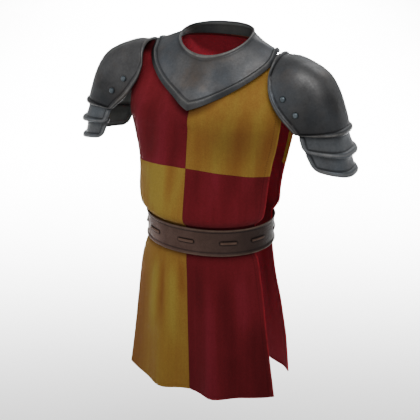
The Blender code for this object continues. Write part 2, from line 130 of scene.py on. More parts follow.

# %% [markdown]
# ## Finishes
#
# Each finish is a small network of nodes. Colour, roughness and relief come from patterns
# at the size of the real thing: threads about a millimetre apart, stitches of three
# millimetres, stains of a few centimetres. The patterns stay in the garment's own space, so
# they don't slide when the view changes. Numbers painted on the vertices tell a finish where
# a fold stands proud, where dirt gathers, where an edge is rubbed, and where painted light
# and painted shade go.

# %% Helpers for node networks
def add_node(tree, kind, values=None, **settings):
    """A node with its settings, and the value or the link of each of its inputs."""
    made = tree.nodes.new(kind)
    for key, value in settings.items():
        setattr(made, key, value)
    for key, value in (values or {}).items():
        if isinstance(value, bpy.types.NodeSocket):
            tree.links.new(value, made.inputs[key])
        else:
            made.inputs[key].default_value = value
    return made


def sums(tree, operation, first, second=0.0, third=0.0, clamp=False):
    """The result of a sum on numbers or sockets."""
    made = add_node(tree, "ShaderNodeMath", {0: first, 1: second, 2: third},
                    operation=operation, use_clamp=clamp)
    return made.outputs[0]


def stretch(tree, value, low, high, to_low=0.0, to_high=1.0):
    """A value moved from one range to another, and held inside it."""
    made = add_node(tree, "ShaderNodeMapRange",
                    {"Value": value, "From Min": low, "From Max": high,
                     "To Min": to_low, "To Max": to_high})
    return made.outputs["Result"]


def mix(tree, share, first, second, blend="MIX"):
    """Two colours mixed by a share."""
    made = add_node(tree, "ShaderNodeMix", data_type="RGBA", blend_type=blend)
    for socket, value in ((made.inputs[0], share), (made.inputs[6], first),
                          (made.inputs[7], second)):
        if isinstance(value, bpy.types.NodeSocket):
            tree.links.new(value, socket)
        elif socket.type == "RGBA":
            socket.default_value = (*value, 1.0)
        else:
            socket.default_value = value
    return made.outputs[2]


def grey(tree, value):
    """A grey of the given lightness."""
    return add_node(tree, "ShaderNodeCombineColor",
                    {"Red": value, "Green": value, "Blue": value}).outputs["Color"]


def cloudy(tree, place, scale, detail=4.0, roughness=0.55):
    """A cloudy pattern, so many clouds to the metre."""
    made = add_node(tree, "ShaderNodeTexNoise",
                    {"Vector": place, "Scale": scale, "Detail": detail, "Roughness": roughness})
    return made.outputs[0]


def painted(tree, name):
    """A number painted on the vertices."""
    return add_node(tree, "ShaderNodeAttribute", attribute_name=name).outputs["Fac"]


def new_finish(name):
    """A material with its shader, its place in the garment's space, and its node tree."""
    material = bpy.data.materials.new(name)
    material.use_nodes = True
    tree = material.node_tree
    place = add_node(tree, "ShaderNodeTexCoord").outputs["Object"]
    return material, tree, tree.nodes["Principled BSDF"], place


def relief(tree, shader, height, distance, strength=1.0):
    """Raise a shader's surface by a height pattern, at most by a distance in metres."""
    bump = add_node(tree, "ShaderNodeBump",
                    {"Height": height, "Distance": distance, "Strength": strength})
    tree.links.new(bump.outputs["Normal"], shader.inputs["Normal"])


# %% [markdown]
# ### Woollen cloth
#
# The cloth is a plain-woven wool, brushed so that it looks soft and a little fuzzy. A painted
# highlight lies on the ridges of its folds and a painted shade, deeper and warmer, in the
# troughs. The cloth is also painted darker towards the hem as painted shade and lighter at
# the shoulders as painted light. The weave is two sets of waves that follow the threads, so
# it reads the cloth's own flat coordinates, in metres. A line of stitches holds each hem down.

# %% Cloth finishes
THREAD_PITCH = 0.0013
STITCH_PITCH = 0.0046
STITCH_REACH = 0.0085
TURN_IN = 0.0085
RUB_REACH = (0.0004, 0.0030)
# Heights above the hem where its painted shade has thinned out, and where the painted light at the
# shoulders starts and is full
HEM_SHADE_TOP = 0.50
SHOULDER_LIGHT_HEIGHTS = (0.72, 0.85)
WAVE_PER_METRE = 0.31416
# Clouds to the metre in each pattern, their detail and how rough they are
WOOL_PATTERNS = {"patches": (16.0, 3.0), "streaks": (1.0, 3.0, 0.5), "fuzz": (300.0, 3.0, 0.75),
                 "rubbing": (60.0,)}
STREAK_SCALE = (75.0, 75.0, 2.6)
# How far each pattern moves the colour between trough and ridge
PATCH_SHARE, STREAK_SHARE, FUZZ_SHARE = 0.24, 0.45, 0.24


def woven_cloth(name, ridge, middle, trough, deep, edge, shaded_at_hem, lit_at_shoulder, turned=()):
    """A cloth painted with shade in the troughs of its folds and with a highlight on their ridges.

    The two numbers after the rubbed edge colour are how light the cloth is painted at the hem,
    as painted shade, and at the shoulders, as painted light. A lining is given the two colours
    of the outer cloth that is turned in over its edges, painted lighter as painted light: where
    'gold' is painted 0, and where it is 1.
    """
    material, tree, shader, place = new_finish(name)
    flat = add_node(tree, "ShaderNodeUVMap", uv_map="flat").outputs["UV"]
    apart = add_node(tree, "ShaderNodeSeparateXYZ", {"Vector": flat})
    fold = painted(tree, "fold")
    patches = cloudy(tree, place, *WOOL_PATTERNS["patches"])
    hanging = add_node(tree, "ShaderNodeMapping", {"Vector": place, "Scale": STREAK_SCALE})
    streaks = cloudy(tree, hanging.outputs[0], *WOOL_PATTERNS["streaks"])
    fuzz = cloudy(tree, place, *WOOL_PATTERNS["fuzz"])
    # Painted shade in the troughs of the folds and a painted highlight on their ridges
    level = sums(tree, "MULTIPLY_ADD", fold, 0.5, 0.5)
    for pattern, share in ((patches, PATCH_SHARE), (streaks, STREAK_SHARE), (fuzz, FUZZ_SHARE)):
        level = sums(tree, "ADD", level, sums(tree, "MULTIPLY_ADD", pattern, share, -0.5 * share))
    colour = mix(tree, stretch(tree, level, 0.10, 0.50), trough, middle)
    colour = mix(tree, stretch(tree, level, 0.50, 0.92), colour, ridge)
    grain = stretch(tree, fuzz, 0.25, 0.75, 0.86, 1.12)
    hem = painted(tree, "hem_reach")
    # Painted shade towards the hem and painted light at the shoulders
    grain = sums(tree, "MULTIPLY", grain, stretch(tree, hem, 0.0, HEM_SHADE_TOP, shaded_at_hem, 1.0))
    grain = sums(tree, "MULTIPLY", grain, stretch(tree, hem, *SHOULDER_LIGHT_HEIGHTS, 1.0, lit_at_shoulder))
    colour = mix(tree, 1.0, colour, grey(tree, grain), "MULTIPLY")
    # Painted shade: toward the deepest colour where 'shade' is painted
    colour = mix(tree, painted(tree, "shade"), colour, deep)
    side = painted(tree, "side_reach")
    if turned:
        near = sums(tree, "MINIMUM", side, hem)
        # The turned-in outer cloth, in colours painted lighter as painted light
        outer = mix(tree, stretch(tree, painted(tree, "gold"), 0.4, 0.6), *turned)
        outer = mix(tree, 1.0, outer, grey(tree, grain), "MULTIPLY")
        inside = stretch(tree, near, TURN_IN - 0.0003, TURN_IN)
        colour = mix(tree, inside, outer, colour)
    rub = sums(tree, "MAXIMUM", stretch(tree, side, *RUB_REACH, 1.0, 0.0),
               stretch(tree, hem, *RUB_REACH, 1.0, 0.0))
    patchy = stretch(tree, cloudy(tree, place, *WOOL_PATTERNS["rubbing"]), 0.3, 0.6, 0.35, 0.9)
    rub = sums(tree, "MULTIPLY", rub, patchy)
    colour = mix(tree, rub, colour, edge)

    stitches = 0.0
    for reach, along in ((side, apart.outputs["Y"]), (hem, apart.outputs["X"])):
        off_line = sums(tree, "ABSOLUTE", sums(tree, "SUBTRACT", reach, STITCH_REACH))
        thread = stretch(tree, off_line, 0.0003, 0.0010, 1.0, 0.0)
        phase = sums(tree, "SINE", sums(tree, "MULTIPLY", along, 2.0 * pi / STITCH_PITCH))
        stitches = sums(tree, "MAXIMUM", stitches,
                        sums(tree, "MULTIPLY", thread, stretch(tree, phase, -0.5, 0.1)))
    colour = mix(tree, sums(tree, "MULTIPLY", stitches, 0.45), colour, deep)
    tree.links.new(colour, shader.inputs["Base Color"])

    weave = 0.0
    for direction in ("X", "Y"):
        threads = add_node(tree, "ShaderNodeTexWave",
                           {"Vector": flat, "Scale": WAVE_PER_METRE / THREAD_PITCH,
                            "Distortion": 0.25, "Detail": 0.0},
                           wave_type="BANDS", bands_direction=direction)
        weave = sums(tree, "ADD", weave, threads.outputs["Fac"])
    height = sums(tree, "MULTIPLY_ADD", weave, 0.30, sums(tree, "MULTIPLY", fuzz, 0.55))
    height = sums(tree, "MULTIPLY_ADD", stitches, -0.9, height)
    relief(tree, shader, height, 0.0005, 0.75)
    tree.links.new(stretch(tree, fuzz, 0.2, 0.8, 0.82, 0.97), shader.inputs["Roughness"])
    shader.inputs["Sheen Weight"].default_value = 0.01
    shader.inputs["Sheen Roughness"].default_value = 0.55
    shader.inputs["Specular IOR Level"].default_value = 0.03
    return material


# The colours of ridge (painted highlight), middle, trough (painted shade), deepest painted
# shade and rubbed edge, then how light the painted shade at the hem and the painted light at
# the shoulders leave it, and for the lining the turned-in colours, painted lighter
WOOLS = {
    "gold_cloth": ("gold_wool", (0.202, 0.140, 0.0270), (0.178, 0.094, 0.0200),
                   (0.152, 0.063, 0.0140), (0.046, 0.013, 0.0060), (0.230, 0.135, 0.0240),
                   0.80, 1.60),
    "red_cloth": ("red_wool", (0.122, 0.0110, 0.0185), (0.089, 0.0076, 0.0108),
                  (0.060, 0.0055, 0.0072), (0.016, 0.0018, 0.0024), (0.200, 0.0120, 0.0170),
                  0.74, 2.00),
    "lining_cloth": ("lining_wool", (0.300, 0.026, 0.041), (0.250, 0.0210, 0.0325),
                     (0.200, 0.0165, 0.0245), (0.045, 0.004, 0.005), (0.330, 0.018, 0.026),
                     0.44, 1.60, ((0.210, 0.0160, 0.0270), (0.360, 0.225, 0.0420))),
}
cloth_finishes = {slot: woven_cloth(*wool) for slot, wool in WOOLS.items()}
print("cloth finishes:", ", ".join(cloth_finishes))

# %% [markdown]
# ### Dark steel
#
# The plates are forged steel, left dark from the fire and darkened again with oil. Brown
# and blue stains a few centimetres across show where the heat and the damp have been. Hands
# and straps have rubbed the rolled edges until they are bright, and dirt has stayed in the
# grooves beside them. Short scratches catch the light. A painted shade darkens the lower part
# of each cop and the lapped top of each lame, and painted light and shade run in bands down
# the collar. Steel is a metal, so its colour is the colour of its reflection: the finish is
# metallic and rather rough. The inner side of a plate is under a coat of grease and grime,
# so it is duller and hardly mirrors at all.

# %% Steel finishes
# Painted shading: the values of the most painted light and of the most painted shade, and how light
# the steel is there
SHADING_RANGE = (-0.5, 1.0)
SHADING_LEVELS = (1.36, 0.25)
# Clouds to the metre in each pattern, their detail and how rough they are
STEEL_PATTERNS = {"tone": (11.0, 5.0, 0.60), "stain": (15.0, 4.0), "cold": (9.0, 3.0),
                  "speck": (190.0, 4.0, 0.7), "rubbing": (55.0, 4.0, 0.65),
                  "scratches": (1.0, 2.0, 0.4), "dents": (34.0, 2.0)}
SCRATCH_TURN = (0.5, 0.3, 0.8)
SCRATCH_SCALE = (30.0, 420.0, 420.0)


def forged_steel(name, dark, light, brown, blue, worn, groove, rough_low, rough_high, metal):
    """A stained, oiled steel, worn bright where 'wear' is painted up and dirty where down."""
    material, tree, shader, place = new_finish(name)
    tone = cloudy(tree, place, *STEEL_PATTERNS["tone"])
    beside = add_node(tree, "ShaderNodeMapping", {"Vector": place, "Location": (1.7, 0.4, 2.3)})
    stain = cloudy(tree, beside.outputs[0], *STEEL_PATTERNS["stain"])
    beyond = add_node(tree, "ShaderNodeMapping", {"Vector": place, "Location": (0.3, 3.1, 0.9)})
    cold = cloudy(tree, beyond.outputs[0], *STEEL_PATTERNS["cold"])
    speck = cloudy(tree, place, *STEEL_PATTERNS["speck"])
    colour = mix(tree, stretch(tree, tone, 0.36, 0.66), dark, light)
    colour = mix(tree, stretch(tree, stain, 0.50, 0.74, 0.0, 0.75), colour, brown)
    colour = mix(tree, stretch(tree, cold, 0.50, 0.72, 0.0, 0.65), colour, blue)
    fleck = stretch(tree, speck, 0.30, 0.70, 0.90, 1.10)
    # Painted light and painted shade from the painted shading
    painted_shading = stretch(tree, painted(tree, "painted_shading"), *SHADING_RANGE, *SHADING_LEVELS)
    fleck = sums(tree, "MULTIPLY", fleck, painted_shading)
    colour = mix(tree, 1.0, colour, grey(tree, fleck), "MULTIPLY")
    wear = painted(tree, "wear")
    patchy = stretch(tree, cloudy(tree, place, *STEEL_PATTERNS["rubbing"]), 0.34, 0.62, 0.35, 1.0)
    bright = sums(tree, "MULTIPLY", stretch(tree, wear, 0.25, 1.0), patchy)
    colour = mix(tree, bright, colour, worn)
    colour = mix(tree, stretch(tree, wear, -0.15, -0.9, 0.0, 0.85), colour, groove)
    tree.links.new(colour, shader.inputs["Base Color"])

    scratches = add_node(tree, "ShaderNodeMapping",
                         {"Vector": place, "Rotation": SCRATCH_TURN, "Scale": SCRATCH_SCALE})
    scored = cloudy(tree, scratches.outputs[0], *STEEL_PATTERNS["scratches"])
    scored = stretch(tree, scored, 0.60, 0.72)
    dents = cloudy(tree, place, *STEEL_PATTERNS["dents"])
    height = sums(tree, "MULTIPLY_ADD", dents, 1.0, sums(tree, "MULTIPLY", speck, 0.16))
    height = sums(tree, "MULTIPLY_ADD", scored, -0.07, height)
    relief(tree, shader, height, 0.0012, 0.38)
    uneven = sums(tree, "MULTIPLY", sums(tree, "ADD", tone, speck), 0.5)
    rough = stretch(tree, uneven, 0.32, 0.68, rough_high, rough_low)
    rough = sums(tree, "SUBTRACT", rough, sums(tree, "MULTIPLY", bright, 0.08))
    tree.links.new(rough, shader.inputs["Roughness"])
    shader.inputs["Metallic"].default_value = metal
    return material


plate_steel = forged_steel("dark_plate_steel", (0.048, 0.048, 0.050), (0.092, 0.092, 0.094),
                           (0.088, 0.071, 0.060), (0.052, 0.063, 0.077), (0.165, 0.160, 0.152),
                           (0.009, 0.009, 0.010), 0.40, 0.58, 0.85)
lame_steel = forged_steel("cold_lame_steel", (0.054, 0.058, 0.063), (0.102, 0.107, 0.114),
                          (0.080, 0.078, 0.076), (0.058, 0.072, 0.088), (0.175, 0.176, 0.176),
                          (0.010, 0.011, 0.012), 0.40, 0.58, 0.85)
inner_steel = forged_steel("dull_inner_steel", (0.030, 0.032, 0.030), (0.050, 0.053, 0.049),
                           (0.044, 0.043, 0.036), (0.030, 0.036, 0.042), (0.060, 0.060, 0.058),
                           (0.020, 0.021, 0.020), 0.55, 0.70, 0.25)
stud_steel = forged_steel("blued_stud_steel", (0.022, 0.030, 0.036), (0.046, 0.058, 0.067),
                          (0.040, 0.040, 0.038), (0.028, 0.040, 0.050), (0.100, 0.118, 0.132),
                          (0.008, 0.010, 0.013), 0.40, 0.56, 0.85)
print("steel finishes:", plate_steel.name, lame_steel.name, inner_steel.name, stud_steel.name)

# %% [markdown]
# ### Leather
#
# The belt is thick dark leather with a fine pebbled grain. Its edges are burnished paler by
# use. It is painted lighter on the wearer's right, as painted light, and darker on the left,
# as painted shade. The thong is the same leather, cut thinner and paler, and a painted shade
# darkens the belt round its own holes.

# %% Leather finishes
# Painted light and shade across the belt: from the wearer's right to the left, in metres, and how
# light the leather is at each
BELT_LIGHT_RANGE = (-0.14, 0.15)
BELT_LIGHT_LEVELS = (2.20, 0.42)
# Clouds to the metre in each pattern, their detail and how rough they are
HIDE_PATTERNS = {"tone": (14.0, 4.0, 0.6), "pores": (520.0, 3.0, 0.7), "rubbing": (48.0, 4.0)}


def hide(name, dark, light, worn, groove, grain):
    """A leather with cells of grain, some so many to the metre, and rubbed edges."""
    material, tree, shader, place = new_finish(name)
    tone = cloudy(tree, place, *HIDE_PATTERNS["tone"])
    cells = add_node(tree, "ShaderNodeTexVoronoi", {"Vector": place, "Scale": grain},
                     feature="DISTANCE_TO_EDGE").outputs["Distance"]
    pores = cloudy(tree, place, *HIDE_PATTERNS["pores"])
    colour = mix(tree, stretch(tree, tone, 0.34, 0.68), dark, light)
    fleck = stretch(tree, pores, 0.28, 0.72, 0.80, 1.18)
    # Painted light on the wearer's right and painted shade on the left
    hand = add_node(tree, "ShaderNodeSeparateXYZ", {"Vector": place}).outputs["X"]
    fleck = sums(tree, "MULTIPLY", fleck, stretch(tree, hand, *BELT_LIGHT_RANGE, *BELT_LIGHT_LEVELS))
    colour = mix(tree, 1.0, colour, grey(tree, fleck), "MULTIPLY")
    wear = painted(tree, "wear")
    patchy = stretch(tree, cloudy(tree, place, *HIDE_PATTERNS["rubbing"]), 0.32, 0.62, 0.30, 0.95)
    rubbed = sums(tree, "MULTIPLY", stretch(tree, wear, 0.2, 1.0), patchy)
    colour = mix(tree, rubbed, colour, worn)
    colour = mix(tree, stretch(tree, wear, -0.1, -0.9, 0.0, 0.90), colour, groove)
    tree.links.new(colour, shader.inputs["Base Color"])
    height = sums(tree, "MULTIPLY_ADD", stretch(tree, cells, 0.0, 0.22), 0.55,
                  sums(tree, "MULTIPLY", pores, 0.35))
    relief(tree, shader, height, 0.0006, 0.65)
    tree.links.new(stretch(tree, pores, 0.3, 0.7, 0.72, 0.54), shader.inputs["Roughness"])
    shader.inputs["Specular IOR Level"].default_value = 0.11
    return material


belt_hide = hide("dark_belt_hide", (0.033, 0.0180, 0.0140), (0.053, 0.0315, 0.0255),
                 (0.092, 0.060, 0.044), (0.006, 0.0035, 0.0035), 420.0)
thong_hide = hide("pale_thong_hide", (0.034, 0.0180, 0.0135), (0.058, 0.0325, 0.0240),
                  (0.088, 0.052, 0.038), (0.007, 0.004, 0.003), 640.0)
print("leather finishes:", belt_hide.name, thong_hide.name)

# %% [markdown]
# ## Laying a sheet on a form
#
# A tailor's cloth and an armourer's plate both start flat. Each sheet here starts as a flat
# grid, whose corners are then moved onto the form it takes, with closer lines where a
# rolled edge or a welt needs them. Its flat coordinates are kept in metres for the weave.
# Relief is added along the surface's own normals, and the Solidify modifier gives the
# sheet its real thickness on the inner side, with a small bevel to soften the cut edges.

# %% Helpers for sheets
def smooth(knots, values, at):
    """Read a table with a smooth curve that never swings past its rows."""
    rising = knots[-1] > knots[0]
    for index in range(len(knots) - 1):
        low, high = knots[index], knots[index + 1]
        if (at <= high) if rising else (at >= high):
            break

    def slope(number):
        return (values[number + 1] - values[number]) / (knots[number + 1] - knots[number])

    def tangent(number):
        if number == 0:
            return slope(0)
        if number == len(knots) - 1:
            return slope(number - 1)
        before, after = slope(number - 1), slope(number)
        return 0.0 if before * after <= 0.0 else 2.0 * before * after / (before + after)

    step = high - low
    t = (at - low) / step
    return (values[index] * (2 * t**3 - 3 * t**2 + 1)
            + tangent(index) * step * (t**3 - 2 * t**2 + t)
            + values[index + 1] * (3 * t**2 - 2 * t**3)
            + tangent(index + 1) * step * (t**3 - t**2))


def columns_of(table):
    """The columns of a table."""
    return [list(column) for column in zip(*table)]


def ease(low, high, at):
    """A soft step from 0 at low to 1 at high."""
    t = min(1.0, max(0.0, (at - low) / (high - low)))
    return t * t * (3.0 - 2.0 * t)


def bell(at, middle, width):
    """A soft bump: 1 at its middle, and nearly 0 two widths away."""
    return exp(-((at - middle) / width) ** 2)


def even(count):
    """Evenly spaced shares from 0 to 1."""
    return [number / count for number in range(count + 1)]


def lay_sheet(across, down, form, width, length, round_it=False):
    """A grid of the given lines laid on a form, with its outer side out.

    Returns the bmesh and the two shares of each vertex, in the order of the vertices.
    """
    maker = bmesh.new()
    line, rank = maker.verts.layers.int.new("line"), maker.verts.layers.int.new("rank")
    last_line, last_rank = len(across) - 1, len(down) - 1
    bmesh.ops.create_grid(maker, x_segments=last_line, y_segments=last_rank, size=0.5)
    flat = maker.loops.layers.uv.new("flat")
    for vert in maker.verts:
        vert[line] = round((vert.co.x + 0.5) * last_line)
        vert[rank] = round((vert.co.y + 0.5) * last_rank)
        vert.co = form(across[vert[line]], down[vert[rank]])
        for loop in vert.link_loops:
            loop[flat].uv = (across[vert[line]] * width, -down[vert[rank]] * length)
    bmesh.ops.reverse_faces(maker, faces=maker.faces)
    if round_it:
        bmesh.ops.remove_doubles(maker, verts=maker.verts, dist=0.00001)
    maker.normal_update()
    maker.verts.index_update()
    return maker, [(across[vert[line]], down[vert[rank]]) for vert in maker.verts]


def raise_sheet(maker, shares, rise):
    """Move every vertex along its normal by the rise at its shares."""
    moves = [vert.normal * rise(*share) for vert, share in zip(maker.verts, shares)]
    for vert, move in zip(maker.verts, moves):
        vert.co += move
    maker.normal_update()


def paint(maker, shares, name, value):
    """Paint a number on every vertex."""
    layer = maker.verts.layers.float.new(name)
    for vert, share in zip(maker.verts, shares):
        vert[layer] = value(*share)


def finish_piece(name, maker, finish, node, wall=0.0, soften=0.0, inner=None):
    """Make the piece, give it its wall and its finish, and put it in its node's place."""
    mesh = bpy.data.meshes.new(name)
    maker.to_mesh(mesh)
    maker.free()
    mesh.shade_smooth()
    mesh.materials.append(finish)
    piece = bpy.data.objects.new(name, mesh)
    scene.collection.objects.link(piece)
    if wall:
        thick = piece.modifiers.new("wall", "SOLIDIFY")
        thick.thickness, thick.offset = wall, -1.0
        if inner:
            mesh.materials.append(inner)
            thick.material_offset = 1
    if soften:
        soft = piece.modifiers.new("soft_edge", "BEVEL")
        soft.width, soft.segments, soft.limit_method = soften, 2, "ANGLE"
        soft.angle_limit = radians(50)
    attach(piece, "root")
    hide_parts(node)
    return piece


# %% [markdown]
# ## The form of the cloth
#
# Each panel hangs as a shallow curve across the body. It leaves the neck and the shoulder
# seam under the collar, rounds over the chest, is drawn in by the belt, and then flares to
# the hem. The form is a table of levels, each with its half width and how far forward it
# stands at its middle and at its edges, read with a smooth curve from level to level.

# %% The cloth's levels
CLOTH_WALL = 0.0016
LINING_WALL = 0.0012
LAYER_GAP = 0.0004
SEAM_GAP = 0.0003
NECK_CENTRE_Y = 0.0335
NECK_HALF_WIDTH = 0.0875
NECK_REACH = {"front": 0.0700, "back": 0.0835}
NECK_SIDE_HEIGHT = 0.4260
NECK_LOW = {"front": 0.3760, "back": 0.4200}
NECK_SHARE = 0.46
SHOULDER_HALF_WIDTH = 0.1950
SHOULDER_TIP_HEIGHT = 0.4016
SHOULDER_HOLLOW = 0.0115
SHOULDER_HOLLOW_SHARE = 0.80
YOKE_TOP = 0.420
YOKE_FOOT = 0.240
QUARTER_HEIGHT = 0.150
QUARTER_HALF_WIDTH = 0.180
QUARTER_SAG = 0.021
QUARTER_REACH = 0.090
BELT_TOP = 0.0035
BELT_BOTTOM = -0.0650
HEM_HEIGHT = -0.4505
SECTION_POWER = 2.07
SECTION_SHARE = 0.927
LOBE_PLACE = 0.36
LOBE_WIDTH = 0.21
BREAST_RISE = 0.011
BREAST_WIDTH = 0.20
BREAST_SCALE = 12.2
BREAST_FADE = 0.3
RUN_STEP = 0.004
FALL = {"front": 1.00, "back": 1.40}
NECK_PULL = {"front": 0.070, "back": 0.112}
SHOULDER_PULL = {"front": 0.070, "back": 0.155}
TIP_PULL = {"front": 0.070, "back": 0.085}
REACH = {"front": 0.120, "back": 0.150}
FORWARD = {"front": -1.0, "back": 1.0}

# Height, half width, depth at the middle and at the edge, and how far two lobes stand out
LEVELS = {
    "front": columns_of((
        (0.2400, 0.1980, -0.1180, -0.0375, 0.0000), (0.2000, 0.1908, -0.1235, -0.0357, 0.0000),
        (0.1500, 0.1800, -0.1296, -0.0370, 0.0000), (0.1000, 0.1745, -0.1370, -0.0415, 0.0000),
        (0.0600, 0.1725, -0.1440, -0.0480, 0.0010), (0.0300, 0.1680, -0.1480, -0.0500, 0.0010),
        (0.0140, 0.1560, -0.1405, -0.0490, 0.0000), (0.0050, 0.1460, -0.1273, -0.0475, 0.0000),
        (-0.0665, 0.1460, -0.1273, -0.0475, 0.0000), (-0.0780, 0.1530, -0.1290, -0.0480, 0.0010),
        (-0.1460, 0.1686, -0.1265, -0.0553, 0.0070), (-0.2540, 0.1835, -0.1235, -0.0568, 0.0140),
        (-0.3500, 0.1965, -0.1200, -0.0565, 0.0205), (-0.4505, 0.2110, -0.1165, -0.0578, 0.0270))),
    "back": columns_of((
        (0.2400, 0.1950, 0.1290, 0.0600, 0.0000), (0.2000, 0.1870, 0.1330, 0.0600, 0.0000),
        (0.1500, 0.1760, 0.1380, 0.0600, 0.0000), (0.1000, 0.1650, 0.1430, 0.0600, 0.0000),
        (0.0600, 0.1600, 0.1480, 0.0600, 0.0010), (0.0300, 0.1590, 0.1510, 0.0595, 0.0010),
        (0.0140, 0.1520, 0.1450, 0.0575, 0.0000), (0.0050, 0.1460, 0.1353, 0.0555, 0.0000),
        (-0.0665, 0.1460, 0.1353, 0.0555, 0.0000), (-0.0780, 0.1470, 0.1375, 0.0565, 0.0010),
        (-0.1460, 0.1545, 0.1400, 0.0600, 0.0050), (-0.2540, 0.1765, 0.1420, 0.0610, 0.0100),
        (-0.3500, 0.1880, 0.1420, 0.0690, 0.0150), (-0.4505, 0.1930, 0.1400, 0.0780, 0.0200))),
}


# %% A point of a panel
def section_share(s):
    """How far a panel's section has come forward at s, from 1 at the middle to 0 at the edge."""
    power = SECTION_POWER
    edge = (1.0 - SECTION_SHARE**power) ** (1.0 / power)
    here = (1.0 - (SECTION_SHARE * abs(s)) ** power) ** (1.0 / power)
    return (here - edge) / (1.0 - edge)


def body_point(side, s, height):
    """A point of a panel below its yoke, s from -1 at the right edge to 1 at the left."""
    heights, *others = LEVELS[side]
    half_width, middle, edge, lobe = (smooth(heights, other, height) for other in others)
    bump = lobe * bell(abs(s), LOBE_PLACE, LOBE_WIDTH)
    depth = edge + (middle - edge) * section_share(s) + FORWARD[side] * bump
    return Vector((s * half_width, depth, height))


def top_point(side, s):
    """A point of a panel's top: the neckline near the middle, then the shoulder seam."""
    hand = 1.0 if s >= 0.0 else -1.0
    share = abs(s)
    if share <= NECK_SHARE:
        turn = 0.5 * pi * share / NECK_SHARE
        height = NECK_SIDE_HEIGHT + (NECK_LOW[side] - NECK_SIDE_HEIGHT) * cos(turn) ** 2
        return Vector((hand * NECK_HALF_WIDTH * sin(turn),
                       NECK_CENTRE_Y + FORWARD[side] * NECK_REACH[side] * cos(turn), height))
    along = (share - NECK_SHARE) / (1.0 - NECK_SHARE)
    height = NECK_SIDE_HEIGHT + (SHOULDER_TIP_HEIGHT - NECK_SIDE_HEIGHT) * along
    height -= SHOULDER_HOLLOW * sin(pi * min(1.0, along / SHOULDER_HOLLOW_SHARE))
    out = NECK_HALF_WIDTH + (SHOULDER_HALF_WIDTH - NECK_HALF_WIDTH) * along
    return Vector((hand * out, NECK_CENTRE_Y, height))


def cloth_point(side, s, height):
    """A point of a panel: a smooth yoke from the neck and shoulder down to the chest."""
    if height <= YOKE_FOOT:
        near_quarter = max(0.0, 1.0 - abs(height - QUARTER_HEIGHT) / QUARTER_REACH)
        return body_point(side, s, height - QUARTER_SAG * s * s * near_quarter)
    top, foot = top_point(side, s), body_point(side, s, YOKE_FOOT)
    run = (body_point(side, s, YOKE_FOOT - RUN_STEP) - foot).normalized()
    turned = min(1.0, abs(s) / NECK_SHARE)
    beyond = max(0.0, abs(s) - NECK_SHARE) / (1.0 - NECK_SHARE)
    start = Vector((0.0, FORWARD[side], -FALL[side] * cos(0.5 * pi * turned))).normalized()
    neck, shoulder, tip = NECK_PULL[side], SHOULDER_PULL[side], TIP_PULL[side]
    pull = neck + (shoulder - neck) * turned + (tip - shoulder) * beyond
    t = (YOKE_TOP - height) / (YOKE_TOP - YOKE_FOOT)
    place = (top * (2 * t**3 - 3 * t**2 + 1) + start * pull * (t**3 - 2 * t**2 + t)
             + foot * (3 * t**2 - 2 * t**3) + run * REACH[side] * (t**3 - t**2))
    if side == "front":
        left = (1.0 - t) / BREAST_FADE
        fade = 1.0 - t if left > 1.0 else BREAST_FADE * left**2 * (2.0 - left)
        place.y -= BREAST_RISE * bell(s, 0.0, BREAST_WIDTH) * BREAST_SCALE * t**4 * fade
    return place


# %% [markdown]
# ## Folds
#
# Wool this heavy doesn't ripple: it falls in a few long soft ridges and troughs that start
# where the cloth is held, at the collar, the plates and the belt, and open out below. They
# are placed one by one, from the places where they lie on the real panels, each with its
# own length, width and depth. A simulation would put them elsewhere. The same list moves
# the cloth, its lining and the painted colour, so shape and shade agree.

